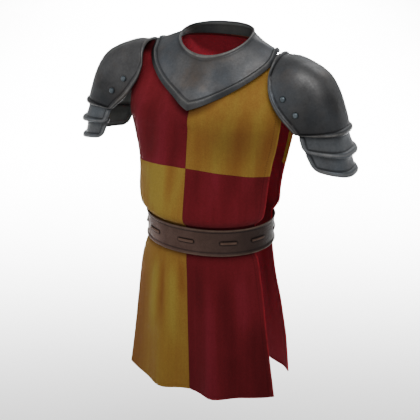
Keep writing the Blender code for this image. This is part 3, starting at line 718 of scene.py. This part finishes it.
# %% The folds of each panel
# Top height, its place across, foot height, its place across, half width, and how strong
FOLDS = {
    "front": (
        (0.335, 0.50, 0.020, 0.36, 0.100, 0.65), (0.330, 0.65, 0.022, 0.60, 0.070, -0.42),
        (0.345, 0.81, 0.060, 0.78, 0.070, 0.55), (0.320, 0.94, 0.013, 0.90, 0.060, -0.65),
        (0.280, 0.17, 0.030, 0.12, 0.080, -0.40), (0.340, -0.28, 0.014, -0.46, 0.100, 0.60),
        (0.320, -0.49, 0.100, -0.66, 0.085, -0.45), (0.345, -0.71, 0.100, -0.86, 0.080, 0.50),
        (0.290, -0.12, 0.020, -0.31, 0.070, -0.35), (0.200, -0.05, 0.012, -0.17, 0.070, 0.45),
        (0.300, -0.91, 0.050, -0.96, 0.060, -0.75), (0.195, -0.60, -0.040, -0.33, 0.200, 1.00),
        (-0.070, -0.58, -0.350, -0.57, 0.085, 0.95), (-0.072, -0.42, -0.300, -0.42, 0.050, -0.80),
        (-0.070, -0.24, -0.360, -0.21, 0.085, 0.80), (-0.074, -0.08, -0.210, -0.07, 0.065, -0.75),
        (-0.080, -0.90, -0.451, -0.90, 0.150, -1.00), (-0.250, -0.37, -0.451, -0.30, 0.140, 0.25),
        (-0.070, 0.15, -0.250, 0.20, 0.100, -0.55), (-0.100, 0.36, -0.451, 0.34, 0.090, 0.60),
        (-0.070, 0.54, -0.420, 0.60, 0.105, -0.65), (-0.076, 0.78, -0.330, 0.76, 0.090, 0.60),
        (-0.200, 0.92, -0.451, 0.90, 0.170, -0.75), (-0.320, 0.60, -0.451, 0.62, 0.110, -0.50),
    ),
    "back": (
        (0.330, -0.62, 0.014, -0.58, 0.090, 0.70), (0.310, -0.43, 0.020, -0.38, 0.070, -0.75),
        (0.300, -0.18, 0.013, -0.16, 0.090, 0.50), (0.320, 0.10, 0.030, 0.08, 0.070, -0.60),
        (0.290, 0.31, 0.014, 0.30, 0.095, 0.70), (0.310, 0.55, 0.020, 0.50, 0.070, -0.80),
        (0.330, 0.78, 0.014, 0.71, 0.085, 0.60), (0.290, -0.86, 0.040, -0.82, 0.060, -0.65),
        (-0.072, -0.70, -0.451, -0.72, 0.100, 0.80), (-0.075, -0.50, -0.400, -0.52, 0.070, -0.90),
        (-0.072, -0.30, -0.451, -0.28, 0.090, 0.70), (-0.080, -0.12, -0.300, -0.10, 0.060, -0.70),
        (-0.072, 0.10, -0.420, 0.14, 0.080, 0.80), (-0.075, 0.28, -0.451, 0.32, 0.070, -0.80),
        (-0.072, 0.48, -0.451, 0.50, 0.090, 0.90), (-0.090, 0.68, -0.380, 0.70, 0.070, -0.70),
        (-0.100, 0.86, -0.451, 0.87, 0.080, 0.50),
    ),
}
FOLD_DEPTH = {"chest": 0.0026, "skirt": 0.0042}
FOLD_START = 0.34
FOLD_END = 0.55
SEAM_DEPTH = 0.0007
SEAM_WIDTH = 0.0035
EDGE_LIP = 0.0044
LIP_SHARE = 0.945
LIP_HEIGHTS = (0.014, 0.045)
BELT_CLEAR = (-0.074, 0.014)


def fold_at(side, s, height):
    """How far a fold stands out at a point, from -1 in a trough to 1 on a ridge."""
    total = 0.0
    for top, s_top, foot, s_foot, half_width, strength in FOLDS[side]:
        along = (top - height) / (top - foot)
        if not -0.02 <= along <= 1.02:
            continue
        place = s_top + (s_foot - s_top) * along
        fade = ease(0.0, FOLD_START, along)
        if foot > HEM_HEIGHT:
            fade *= ease(1.0, FOLD_END, along)
        total += strength * fade * bell(s, place, half_width)
    return max(-1.0, min(1.0, total))


def cloth_rise(side, s, height):
    """How far the cloth stands off its form: folds, pressed seams and the back's turned lip."""
    if BELT_CLEAR[0] < height < BELT_CLEAR[1]:
        return 0.0
    if height > 0.0:
        depth = FOLD_DEPTH["chest"] * (1.0 - 0.6 * ease(0.80, 1.0, abs(s)))
    else:
        depth = FOLD_DEPTH["skirt"] * (0.45 + 0.55 * ease(-0.08, -0.40, height))
    seam = bell(s * QUARTER_HALF_WIDTH, 0.0, SEAM_WIDTH)
    level = bell(height, QUARTER_HEIGHT, SEAM_WIDTH)
    lip = 0.0
    if side == "back":
        lip = EDGE_LIP * ease(LIP_SHARE, 1.0, abs(s)) * ease(*LIP_HEIGHTS, height)
    return (fold_at(side, s, height) * depth + lip
            - SEAM_DEPTH * max(seam, level) * ease(0.34, 0.28, height))


print("folds:", {side: len(rows) for side, rows in FOLDS.items()})

# %% [markdown]
# ## Painted shade under the collar and the belt
#
# Shade is painted on the cloth where the plates and the belt press on it, so the wool is
# darker for a finger's width beside them, and darkest in the gap between the cop and the
# collar and along its top edge under the collar. A broad painted shade also darkens the left
# of the chest. The collar's edge is a table of angles round the neck, and a point of the
# cloth is shaded by how far outside that edge it lies.

# %% Shade of the cloth
BELT_SHADE = 0.62
CHEST_SHADE = 0.50
COLLAR_SHADE = 0.66
COLLAR_SHADE_REACH = 0.03
GAP_SHADE = 0.92
# Where the gap between cop and collar starts and is full, in height and across
GAP_HEIGHT = (0.374, 0.390)
GAP_ACROSS = (0.125, 0.150)
# Middle and half width of the painted shade on the left of the chest, in shares across and in
# heights
CHEST_SHADE_ACROSS = (0.58, 0.46)
CHEST_SHADE_HEIGHT = (0.225, 0.062)
RIM_HALF_WIDTH = 0.0866
RIM_FRONT_REACH = 0.0680
RIM_BACK_REACH = 0.0880
RIM_FRONT_HEIGHT = 0.4010
RIM_RISE = 0.0510
RIM_CURVE = 2.2
COLLAR_FLARE = 0.97
# Angle round the neck from the front, reach and height of the collar's lower edge
COLLAR_EDGE = columns_of((
    (0.0, 0.1541, 0.2880), (26.0, 0.1335, 0.3118), (50.6, 0.1427, 0.3428), (70.0, 0.1559, 0.3719),
    (80.0, 0.1620, 0.3887), (91.8, 0.1600, 0.4115), (105.5, 0.1530, 0.4010),
    (132.5, 0.1230, 0.3750), (160.0, 0.1035, 0.3620), (180.0, 0.1005, 0.3580)))


def near_belt(height):
    """How near a height is to the belt: 1 behind it, and 0 two fingers away."""
    above, below = max(height, BELT_TOP), min(height, BELT_BOTTOM)
    return bell(above, BELT_TOP, 0.013) * bell(below, BELT_BOTTOM, 0.012)


def cloth_shade(side, s, height):
    """How much painted shade a point of the cloth gets, from 0 to 1: beside what presses on it, and
    on the chest.
    """
    shade = BELT_SHADE * near_belt(height)
    if side == "front":
        shade = max(shade, CHEST_SHADE * bell(s, *CHEST_SHADE_ACROSS) * bell(height, *CHEST_SHADE_HEIGHT))
    if height > YOKE_FOOT - 0.03:
        place = cloth_point(side, s, height) - Vector((0.0, NECK_CENTRE_Y, 0.0))
        flat_place = Vector((place.x, -place.y))
        angle = abs(Vector((0.0, 1.0)).angle_signed(flat_place, 0.0)) * 180.0 / pi
        outside = flat_place.length - smooth(COLLAR_EDGE[0], COLLAR_EDGE[1], angle)
        under = height - smooth(COLLAR_EDGE[0], COLLAR_EDGE[2], angle)
        if outside < COLLAR_SHADE_REACH:
            shade = max(shade, COLLAR_SHADE * bell(min(0.0, under), 0.0, 0.011))
        between = ease(*GAP_HEIGHT, place.z) * ease(*GAP_ACROSS, abs(place.x))
        # Painted shade along the cloth's top edge under the collar
        top_edge = ease(YOKE_TOP - 0.012, YOKE_TOP - 0.004, height)
        shade = max(shade, GAP_SHADE * between, top_edge)
    return shade


# %% [markdown]
# ## The quarters and their lining
#
# Four pieces of cloth make each panel, so each is cut and finished on its own: red over
# gold on the wearer's right, gold over red on the left, in front and behind. A whole dark
# red lining lies inside each panel. Every piece is laid on the panel's form, moved by its
# folds, and given the thickness of real wool. Its cut size is measured before it is
# thickened, and stated, so that it can be cut again from flat cloth.

# %% Make the cloth
CUT_EDGE_SHARE = 0.012
HEM_EDGE_SHARE = 0.004
CLOTH_SOFTEN = 0.0003


def lines_with_edges(count, edge):
    """Even grid lines between 0 and 1, and one more line close inside each end."""
    return [0.0] + [edge + (1.0 - 2.0 * edge) * n / count for n in range(count)] + [1.0 - edge, 1.0]


def measure(maker, across, down):
    """The longest way across and down a sheet, and its area, all in metres."""
    line, rank = maker.verts.layers.int["line"], maker.verts.layers.int["rank"]
    grid = {(vert[line], vert[rank]): vert.co for vert in maker.verts}
    wide = max(sum((grid[i + 1, j] - grid[i, j]).length for i in range(across))
               for j in range(down + 1))
    tall = max(sum((grid[i, j + 1] - grid[i, j]).length for j in range(down))
               for i in range(across + 1))
    return wide, tall, sum(face.calc_area() for face in maker.faces)


def make_cloth(name, side, s_low, s_high, top, foot, columns, rows, depth, wall, slot):
    """One cut piece of a panel between two columns and two levels."""
    front = side == "front"
    shift = Vector((0.0, 0.5 * FORWARD[side] * SEAM_GAP, 0.0)) - SHOULDERS
    across = lines_with_edges(columns, CUT_EDGE_SHARE)
    down = lines_with_edges(rows, HEM_EDGE_SHARE)

    def place(u, v):
        return s_low + (s_high - s_low) * (u if front else 1.0 - u), top + (foot - top) * v

    def form(u, v):
        return cloth_point(side, *place(u, v)) + shift

    maker, shares = lay_sheet(across, down, form, (s_high - s_low) * QUARTER_HALF_WIDTH, top - foot)
    raise_sheet(maker, shares, lambda u, v: cloth_rise(side, *place(u, v)) - depth)
    paint(maker, shares, "fold", lambda u, v: fold_at(side, *place(u, v)))
    paint(maker, shares, "shade", lambda u, v: cloth_shade(side, *place(u, v)))
    paint(maker, shares, "side_reach",
          lambda u, v: (1.0 - abs(place(u, v)[0])) * QUARTER_HALF_WIDTH)
    paint(maker, shares, "hem_reach", lambda u, v: place(u, v)[1] - HEM_HEIGHT)
    if slot == "lining_cloth":
        paint(maker, shares, "gold", lambda u, v: float(
            (place(u, v)[0] > 0.0) == (place(u, v)[1] > QUARTER_HEIGHT)))
    wide, tall, area = measure(maker, len(across) - 1, len(down) - 1)
    node = name.removesuffix("_cloth")
    piece = finish_piece(name, maker, cloth_finishes[slot], node, wall, CLOTH_SOFTEN)
    print(f"{name}: {wide:.3f} x {tall:.3f} m, {area:.4f} square metres")
    return area


half_gap = 0.5 * SEAM_GAP
middle_share = half_gap / QUARTER_HALF_WIDTH
cut_area = 0.0
for side in ("front", "back"):
    for hand, low, high in (("right", -1.0, -middle_share), ("left", middle_share, 1.0)):
        upper, lower = (("red_cloth", "gold_cloth") if hand == "right"
                        else ("gold_cloth", "red_cloth"))
        cut_area += make_cloth(f"{side}_chest_{hand}_cloth", side, low, high, YOKE_TOP,
                               QUARTER_HEIGHT + half_gap, 44, 54, 0.0, CLOTH_WALL, upper)
        cut_area += make_cloth(f"{side}_skirt_{hand}_cloth", side, low, high,
                               QUARTER_HEIGHT - half_gap, HEM_HEIGHT, 44, 110, 0.0,
                               CLOTH_WALL, lower)
    cut_area += make_cloth(f"{side}_lining_cloth", side, -1.0, 1.0, YOKE_TOP, HEM_HEIGHT,
                           80, 150, CLOTH_WALL + LAYER_GAP, LINING_WALL, "lining_cloth")
print(f"cloth in all: {cut_area:.3f} square metres")

# %% [markdown]
# ## The belt
#
# The belt is a broad strap of thick leather, closed where it doesn't show. A raised welt
# runs along both edges, and a thong is laced in and out along the middle, so that ten
# stitches of it show. The leather is pressed down round each stitch. The strap is a grid
# wrapped round the waist, with close lines at the welts, and the presses are relief.

# %% The belt's form
BELT_HALF_WIDTH = 0.162
BELT_HALF_DEPTH = 0.136
BELT_CENTRE_Y = 0.004
BELT_WALL = 0.0040
BELT_TALL = BELT_TOP - BELT_BOTTOM
THONG_PLACES = (0.0, 0.113, 0.197, 0.300, 0.402, 0.500, 0.604, 0.698, 0.800, 0.891)
THONG_LENGTH = 0.042
THONG_HEIGHT = 0.008
THONG_LEVEL = -0.0316
THONG_COLUMNS = 34
THONG_ROWS = 12
THONG_END = 0.0040
THONG_EDGE_RISE = 0.0004
THONG_CROWN_RISE = 0.0024
SEAT_GAP = 0.0003
PRESS_DEPTH = 0.0011
PRESS_REACH = 0.0004
# Distance in from the belt's edge, and how far the leather stands up there
WELT = columns_of(((0.0, 0.0012), (0.0015, 0.0024), (0.0040, 0.0026), (0.0062, 0.0016),
                   (0.0078, -0.0004), (0.0100, -0.0002), (0.0130, 0.0), (0.0400, 0.0)))


def belt_point(u, v):
    """A point of the belt's outer face: u runs round it, v from its top to its bottom."""
    turn = 2.0 * pi * u
    power = 2.0 / SECTION_POWER
    c, s = cos(turn), sin(turn)
    x = BELT_HALF_WIDTH * (1.0 if s >= 0.0 else -1.0) * abs(s) ** power
    y = -BELT_HALF_DEPTH * (1.0 if c >= 0.0 else -1.0) * abs(c) ** power
    return Vector((x, BELT_CENTRE_Y + y, BELT_TOP - BELT_TALL * v))


ARC_STEPS = 720
belt_arc = [0.0]
for number in range(ARC_STEPS):
    step = belt_point((number + 1) / ARC_STEPS, 0.0) - belt_point(number / ARC_STEPS, 0.0)
    belt_arc.append(belt_arc[-1] + step.length)
belt_round = belt_arc[-1]


def belt_turn(length):
    """How far round the belt a length of its edge reaches, from 0 to 1."""
    length %= belt_round
    for number in range(ARC_STEPS):
        if length <= belt_arc[number + 1]:
            part = (length - belt_arc[number]) / (belt_arc[number + 1] - belt_arc[number])
            return (number + part) / ARC_STEPS
    return 1.0


def thong_reach(u, v):
    """How far a point of the belt lies outside the nearest stitch, in metres."""
    number = u * ARC_STEPS
    low = min(ARC_STEPS - 1, int(number))
    length = belt_arc[low] + (belt_arc[low + 1] - belt_arc[low]) * (number - low)
    along = min(abs(length - share * belt_round) for share in (*THONG_PLACES, 1.0))
    up = abs(BELT_TOP - BELT_TALL * v - THONG_LEVEL)
    radius = 0.5 * THONG_HEIGHT
    beyond = max(0.0, along - (0.5 * THONG_LENGTH - radius))
    return sqrt(beyond**2 + up**2) - radius


def belt_rise(u, v):
    """Relief of the belt: a welt along both edges, and a press round each stitch."""
    from_edge = min(v, 1.0 - v) * BELT_TALL
    press = bell(max(PRESS_REACH, thong_reach(u, v)), PRESS_REACH, 0.0019)
    return smooth(*WELT, from_edge) - PRESS_DEPTH * press


def belt_wear_and_shade(u, v):
    """Rubbed welts, dirt beside them, and painted shade round the stitches."""
    from_edge = min(v, 1.0 - v) * BELT_TALL
    rubbed = bell(from_edge, 0.0022, 0.0020)
    dirty = 0.75 * bell(from_edge, 0.0085, 0.0016)
    # Painted shade in the press round each stitch
    return rubbed - dirty - bell(max(0.0, thong_reach(u, v)), 0.0, 0.0024)


# %% Make the belt and its stitches
WELT_STEPS = (0.0, 0.0010, 0.0022, 0.0036, 0.0050, 0.0062, 0.0072, 0.0082, 0.0095, 0.0115)
BELT_COLUMNS = 480
BELT_SOFTEN = 0.0008

welt_lines = [step / BELT_TALL for step in WELT_STEPS]
middle_lines = [0.19 + 0.62 * n / 34 for n in range(35)]
belt_lines = welt_lines + middle_lines + [1.0 - line for line in reversed(welt_lines)]
belt_columns = [belt_turn(belt_round * n / BELT_COLUMNS) for n in range(BELT_COLUMNS)] + [1.0]
maker, shares = lay_sheet(belt_columns, belt_lines, lambda u, v: belt_point(u, v) - SHOULDERS,
                          belt_round, BELT_TALL, round_it=True)
raise_sheet(maker, shares, belt_rise)
paint(maker, shares, "wear", belt_wear_and_shade)
finish_piece("laced_belt", maker, belt_hide, "belt", BELT_WALL, BELT_SOFTEN)
print(f"belt: {belt_round:.3f} m round, {BELT_TALL:.4f} m tall")


def make_stitch(number, share):
    """One stitch of thong: a flat rounded bar that dives into the belt at both ends."""
    middle = share * belt_round
    level = (BELT_TOP - THONG_LEVEL) / BELT_TALL

    def form(u, v):
        turn = belt_turn(middle + (u - 0.5) * THONG_LENGTH)
        return belt_point(turn, level + (v - 0.5) * THONG_HEIGHT / BELT_TALL) - SHOULDERS

    def crown(u, v):
        from_end = min(u, 1.0 - u) * THONG_LENGTH
        end = sqrt(max(0.0, 1.0 - max(0.0, 1.0 - from_end / THONG_END) ** 2))
        side = sqrt(max(0.0, 1.0 - (2.0 * v - 1.0) ** 2))
        return end * side

    maker, shares = lay_sheet(even(THONG_COLUMNS), even(THONG_ROWS), form, THONG_LENGTH,
                              THONG_HEIGHT)
    paint(maker, shares, "wear", lambda u, v: 2.0 * crown(u, v) - 1.1)
    under_side = bmesh.ops.extrude_face_region(maker, geom=maker.faces[:])["geom"]
    under = {item for item in under_side if isinstance(item, bmesh.types.BMVert)}
    line, rank = maker.verts.layers.int["line"], maker.verts.layers.int["rank"]
    for vert in maker.verts:
        u, v = vert[line] / THONG_COLUMNS, vert[rank] / THONG_ROWS
        place = vert.co + SHOULDERS
        outward = Vector((place.x, place.y - BELT_CENTRE_Y, 0.0)).normalized()
        lift = THONG_EDGE_RISE + THONG_CROWN_RISE * crown(u, v)
        vert.co += outward * (-SEAT_GAP if vert in under else lift)
    bmesh.ops.recalc_face_normals(maker, faces=maker.faces)
    node = f"belt_thong_{number + 1:02d}"
    finish_piece(f"{node}_stitch", maker, thong_hide, node)


for number, share in enumerate(THONG_PLACES):
    make_stitch(number, share)

# %% [markdown]
# ## The plate collar
#
# The collar is one piece of steel raised from a flat plate. It rises round the neck, higher
# behind than in front, and spreads over the chest to a point. The armourer has rolled the
# neck rim over a wire, so that it is smooth against the skin and stiff, and has hammered a
# border along the lower edge. The plate is a ring of lines from the rim to the edge.

# %% Make the collar
PLATE_WALL = 0.0020
COLLAR_COLUMNS = 220
COLLAR_SOFTEN = 0.0006
# Share of the way from the rim to the lower edge, and the relief, the wear or the painted shading
# there
COLLAR_RELIEF = columns_of((
    (0.000, 0.0000), (0.014, 0.0018), (0.036, 0.0031), (0.060, 0.0019), (0.082, 0.0002),
    (0.100, -0.0003), (0.150, 0.0000), (0.790, 0.0000), (0.824, -0.0006), (0.842, 0.0006),
    (0.866, 0.0032), (0.886, 0.0039), (0.910, 0.0035), (0.955, 0.0020), (1.000, 0.0003)))
COLLAR_WEAR = columns_of((
    (0.000, 0.35), (0.034, 0.95), (0.066, 0.30), (0.096, -0.42), (0.150, 0.00), (0.780, 0.00),
    (0.824, -0.62), (0.852, 0.10), (0.876, 0.75), (0.905, 0.00), (0.980, 0.00), (1.000, 0.30)))
# Painted shading: a little shade at the rim, painted light above the border, painted shade on its
# lower band
COLLAR_SHADING = columns_of((
    (0.000, 0.20), (0.090, 0.25), (0.200, 0.05), (0.450, -0.10), (0.700, -0.40), (0.840, -0.10),
    (0.885, 0.10), (0.920, 0.60), (1.000, 0.72)))


def collar_point(u, v):
    """A point of the collar: u runs round the neck from the front, v from rim to lower edge."""
    turn = 2.0 * pi * u
    c, s = cos(turn), sin(turn)
    deep = RIM_FRONT_REACH if c >= 0.0 else RIM_BACK_REACH
    rim = 1.0 / sqrt((s / RIM_HALF_WIDTH) ** 2 + (c / deep) ** 2)
    back_share = (RIM_FRONT_REACH - rim * c) / (RIM_FRONT_REACH + RIM_BACK_REACH)
    rim_height = RIM_FRONT_HEIGHT + RIM_RISE * (1.0 - (1.0 - min(1.0, back_share)) ** RIM_CURVE)
    degrees = 360.0 * min(u, 1.0 - u)
    edge = smooth(COLLAR_EDGE[0], COLLAR_EDGE[1], degrees)
    edge_height = smooth(COLLAR_EDGE[0], COLLAR_EDGE[2], degrees)
    reach = rim + (edge - rim) * v
    height = rim_height + (edge_height - rim_height) * v**COLLAR_FLARE
    return Vector((reach * s, NECK_CENTRE_Y - reach * c, height)) - SHOULDERS


collar_lines = ([0.008 * n for n in range(20)] + [0.16 + 0.62 * n / 34 for n in range(34)]
                + [0.78 + 0.22 * n / 40 for n in range(41)])
maker, shares = lay_sheet(even(COLLAR_COLUMNS), collar_lines, collar_point, 0.75, 0.09,
                          round_it=True)
raise_sheet(maker, shares, lambda u, v: smooth(*COLLAR_RELIEF, v))
paint(maker, shares, "wear", lambda u, v: smooth(*COLLAR_WEAR, v))
paint(maker, shares, "painted_shading", lambda u, v: smooth(*COLLAR_SHADING, v))
finish_piece("steel_collar", maker, plate_steel, "plate_collar", PLATE_WALL,
             COLLAR_SOFTEN, inner_steel)
print("collar:", len(collar_lines), "lines from the rim to the lower edge")

# %% [markdown]
# ## The pauldrons
#
# Each shoulder has a domed plate, the cop, over the point of the shoulder, and two narrower
# plates, the lames, that lap under it down the arm. All three have rolled edges. Inside,
# the lames hang on leathers riveted to the cop, so that the arm can lift. Each plate is a
# grid over a row of arches, and the roll is half-round relief measured from its edges.

# %% The plates' arches
# Front end (x, y, z), crest (x, z) and how square each arch is, from the neck down
ARCHES = {
    "cop": columns_of((
        (.1650, -.0300, .3640, .1690, .4085, .82), (.1700, -.0420, .3330, .2050, .4080, .76),
        (.1845, -.0520, .3040, .2480, .3950, .70), (.2045, -.0540, .2780, .2860, .3730, .70),
        (.2225, -.0550, .2610, .3120, .3350, .68), (.2345, -.0545, .2500, .3290, .2900, .66),
        (.2425, -.0540, .2440, .3430, .2430, .64))),
    "upper_lame": columns_of((
        (.2440, -.0430, .2540, .3354, .2600, .62), (.2530, -.0490, .2290, .3410, .2300, .62),
        (.2620, -.0515, .2060, .3590, .1930, .62))),
    "lower_lame": columns_of((
        (.2580, -.0420, .2130, .3484, .2080, .62), (.2700, -.0400, .1870, .3510, .1800, .64),
        (.2850, -.0370, .1590, .3640, .1450, .66))),
}
ARCH_MIDDLE_Y = 0.024
ARCH_RISE = 0.92
ARCH_BACK_ROUNDNESS = 0.72
ARCH_SAMPLES = 96
ROLL_WIDTH = 0.0130
ROLL_RISE = 0.0046
GROOVE_DEPTH = 0.0007
GROOVE_PLACE = ROLL_WIDTH + 0.0012
CORNER_RADIUS = 0.0170
PLATE_SOFTEN = 0.0005


def arch_form(plate, hand):
    """The form through a plate's arches, on the left (hand 1) or the right (hand -1)."""
    columns = ARCHES[plate]
    knots = even(len(columns[0]) - 1)
    made = {}

    def arch(v):
        if v not in made:
            front_x, front_y, front_z, crest_x, crest_z, roundness = (
                smooth(knots, column, v) for column in columns)
            points = []
            for number in range(ARCH_SAMPLES + 1):
                turn = pi * number / ARCH_SAMPLES
                c, rise = cos(turn), max(0.0, sin(turn)) ** ARCH_RISE
                out = c**roundness if c >= 0.0 else -abs(c) ** ARCH_BACK_ROUNDNESS
                points.append(Vector((hand * (front_x + (crest_x - front_x) * rise),
                                      ARCH_MIDDLE_Y + (front_y - ARCH_MIDDLE_Y) * out,
                                      front_z + (crest_z - front_z) * rise)) - SHOULDERS)
            lengths = [0.0]
            for before, after in zip(points, points[1:]):
                lengths.append(lengths[-1] + (after - before).length)
            made[v] = points, lengths
        return made[v]

    def form(u, v):
        points, lengths = arch(v)
        length = (u if hand > 0 else 1.0 - u) * lengths[-1]
        number = 0
        while number < ARCH_SAMPLES - 1 and lengths[number + 1] < length:
            number += 1
        part = (length - lengths[number]) / (lengths[number + 1] - lengths[number])
        return points[number].lerp(points[number + 1], part)

    return form, lambda v: arch(v)[1][-1]


# %% Make the plates
ROLL_STEPS = (0.0, 0.0005, 0.0015, 0.0031, 0.0050, 0.0070, 0.0090, 0.0106, 0.0117, 0.0126, 0.0137,
              0.0152, 0.0175)


def edge_lines(length, count, both):
    """Grid lines that are close together at one edge or at both."""
    near = [step / length for step in ROLL_STEPS]
    start = near if both else [0.0]
    end = [1.0 - line for line in reversed(near)]
    between = [start[-1] + (end[0] - start[-1]) * n / count for n in range(1, count)]
    return start + between + end


def make_plate(side, hand, plate, counts, open_top):
    """One arched plate with rolled edges, whose top edge is plain where another laps it."""
    form, arch_length = arch_form(plate, hand)
    tall = sum((form(0.5, n / 20) - form(0.5, (n + 1) / 20)).length for n in range(20))
    wide = arch_length(0.5)
    across = edge_lines(wide, counts[0], True)
    down = edge_lines(tall, counts[1], open_top)

    def from_edges(u, v):
        """How far in a point is from the nearer end and from the nearer long edge."""
        edge_share = min(1.0 - v, v) if open_top else 1.0 - v
        return min(u, 1.0 - u) * arch_length(v), edge_share * tall

    def rounded(u, v):
        """The shares of a point once the plate's square corners have been filed round."""
        end, edge = (1.0 - reach / CORNER_RADIUS for reach in from_edges(u, v))
        if min(end, edge) <= 0.0:
            return u, v
        u_move = CORNER_RADIUS * end * (1.0 - sqrt(1.0 - 0.5 * edge**2)) / arch_length(v)
        v_move = CORNER_RADIUS * edge * (1.0 - sqrt(1.0 - 0.5 * end**2)) / tall
        return u + (u_move if u < 0.5 else -u_move), v + (v_move if v < 0.5 else -v_move)

    def from_edge(u, v):
        """How far in a point is from the plate's edge, along its filed corners too."""
        end, edge = from_edges(*rounded(u, v))
        if max(end, edge) >= CORNER_RADIUS:
            return min(end, edge)
        return CORNER_RADIUS - sqrt((CORNER_RADIUS - end) ** 2 + (CORNER_RADIUS - edge) ** 2)

    def lapped(v):
        """A share that takes the roll away under the plate above."""
        return 1.0 if open_top else ease(0.22, 0.36, v)

    def roll(u, v):
        """Relief: a half-round roll along the edge, and a groove beside it."""
        reach = from_edge(u, v)
        across_roll = 2.0 * reach / ROLL_WIDTH - 1.0
        bead = sqrt(max(0.0, 1.0 - across_roll**2)) if reach < ROLL_WIDTH else 0.0
        groove = bell(reach, GROOVE_PLACE, 0.0014)
        return (ROLL_RISE * bead - GROOVE_DEPTH * groove) * lapped(v)

    def wear(u, v):
        """Bright on the roll, dirty in the groove."""
        reach = from_edge(u, v)
        rubbed = 0.75 * bell(reach, 0.0060, 0.0030)
        dirty = 0.65 * bell(reach, GROOVE_PLACE, 0.0026)
        return (rubbed - dirty) * lapped(v)

    def painted_shading(u, v):
        """Painted shade: a cop is darker lower down and at its ends, a lame where it is lapped."""
        if not open_top:
            return 0.50 * ease(0.50, 0.25, v)
        near_end = ease(0.40, 0.10, min(u, 1.0 - u))
        return 0.22 + 0.62 * ease(0.25, 0.85, v) * (0.55 + 0.45 * near_end)

    maker, shares = lay_sheet(across, down, lambda u, v: form(*rounded(u, v)), wide, tall)
    raise_sheet(maker, shares, roll)
    paint(maker, shares, "wear", wear)
    paint(maker, shares, "painted_shading", painted_shading)
    finish_piece(f"{side}_{plate}_plate", maker, plate_steel if open_top else lame_steel,
                 f"pauldron_{plate}_{side}", PLATE_WALL, PLATE_SOFTEN, inner_steel)
    print(f"{side} {plate}: {wide:.3f} m round the arm, {tall:.3f} m down it")
    return form


cop_forms = {}
for side, hand in (("left", 1), ("right", -1)):
    cop_forms[side] = make_plate(side, hand, "cop", (60, 46), True)
    make_plate(side, hand, "upper_lame", (60, 10), False)
    make_plate(side, hand, "lower_lame", (60, 10), False)

# %% [markdown]
# ## The rivets
#
# Four domed rivets on each cop hold the leathers inside. A rivet is half a ball pressed
# flatter, with a narrow foot, and it stands square to the plate. The foot catches dirt and
# the crown is rubbed bright.

# %% Make the rivets
RIVET_RADIUS = 0.0075
RIVET_HEIGHT = 0.0050
RIVET_FOOT = 0.0006
RIVET_GAP = 0.0006
# Which rivet, and its shares down the cop and round it from the front
RIVET_PLACES = (("upper", 0.375, 0.104), ("lower", 0.605, 0.106))


def outward_at(form, u, v):
    """The unit normal of a form, from two short steps along it."""
    step = 0.001
    return (form(u, v + step) - form(u, v - step)).cross(
        form(u + step, v) - form(u - step, v)).normalized()


def make_rivet(name, form, u, v):
    """A domed rivet head standing on a plate."""
    maker = bmesh.new()
    bmesh.ops.create_uvsphere(maker, u_segments=28, v_segments=18, radius=RIVET_RADIUS)
    bmesh.ops.bisect_plane(maker, geom=maker.verts[:] + maker.edges[:] + maker.faces[:],
                           plane_co=(0.0, 0.0, 0.0), plane_no=(0.0, 0.0, 1.0), clear_inner=True)
    bmesh.ops.scale(maker, verts=maker.verts, vec=(1.0, 1.0, RIVET_HEIGHT / RIVET_RADIUS))
    rim = [edge for edge in maker.edges if edge.is_boundary]
    foot = bmesh.ops.extrude_edge_only(maker, edges=rim)["geom"]
    foot_verts = [item for item in foot if isinstance(item, bmesh.types.BMVert)]
    bmesh.ops.translate(maker, verts=foot_verts, vec=(0.0, 0.0, -RIVET_FOOT))
    bmesh.ops.contextual_create(maker, geom=[e for e in maker.edges if e.is_boundary])
    layer = maker.verts.layers.float.new("wear")
    for vert in maker.verts:
        vert[layer] = 2.1 * vert.co.z / RIVET_HEIGHT - 0.9
    normal = outward_at(form, u, v)
    turn = normal.to_track_quat("Z", "Y").to_matrix().to_4x4()
    place = Matrix.Translation(form(u, v) + normal * RIVET_GAP) @ turn
    bmesh.ops.transform(maker, matrix=place, verts=maker.verts)
    bmesh.ops.recalc_face_normals(maker, faces=maker.faces)
    finish_piece(f"{name}_head", maker, stud_steel, name)


for side, hand in (("left", 1), ("right", -1)):
    for level, v, u in RIVET_PLACES:
        for face, share in (("front", u), ("back", 1.0 - u)):
            make_rivet(f"rivet_{face}_{level}_{side}", cop_forms[side],
                       share if hand > 0 else 1.0 - share, v)

# %% [markdown]
# ## The floor's finish
#
# The floor is a pale matt surface with a faint unevenness, like painted board.

# %% Finish the floor
material, tree, shader, place = new_finish("pale_board")
board = stretch(tree, cloudy(tree, place, 1.2, 3.0), 0.3, 0.7, 0.91, 0.94)
tree.links.new(grey(tree, board), shader.inputs["Base Color"])
shader.inputs["Roughness"].default_value = 0.9
floor_mesh.materials.append(material)
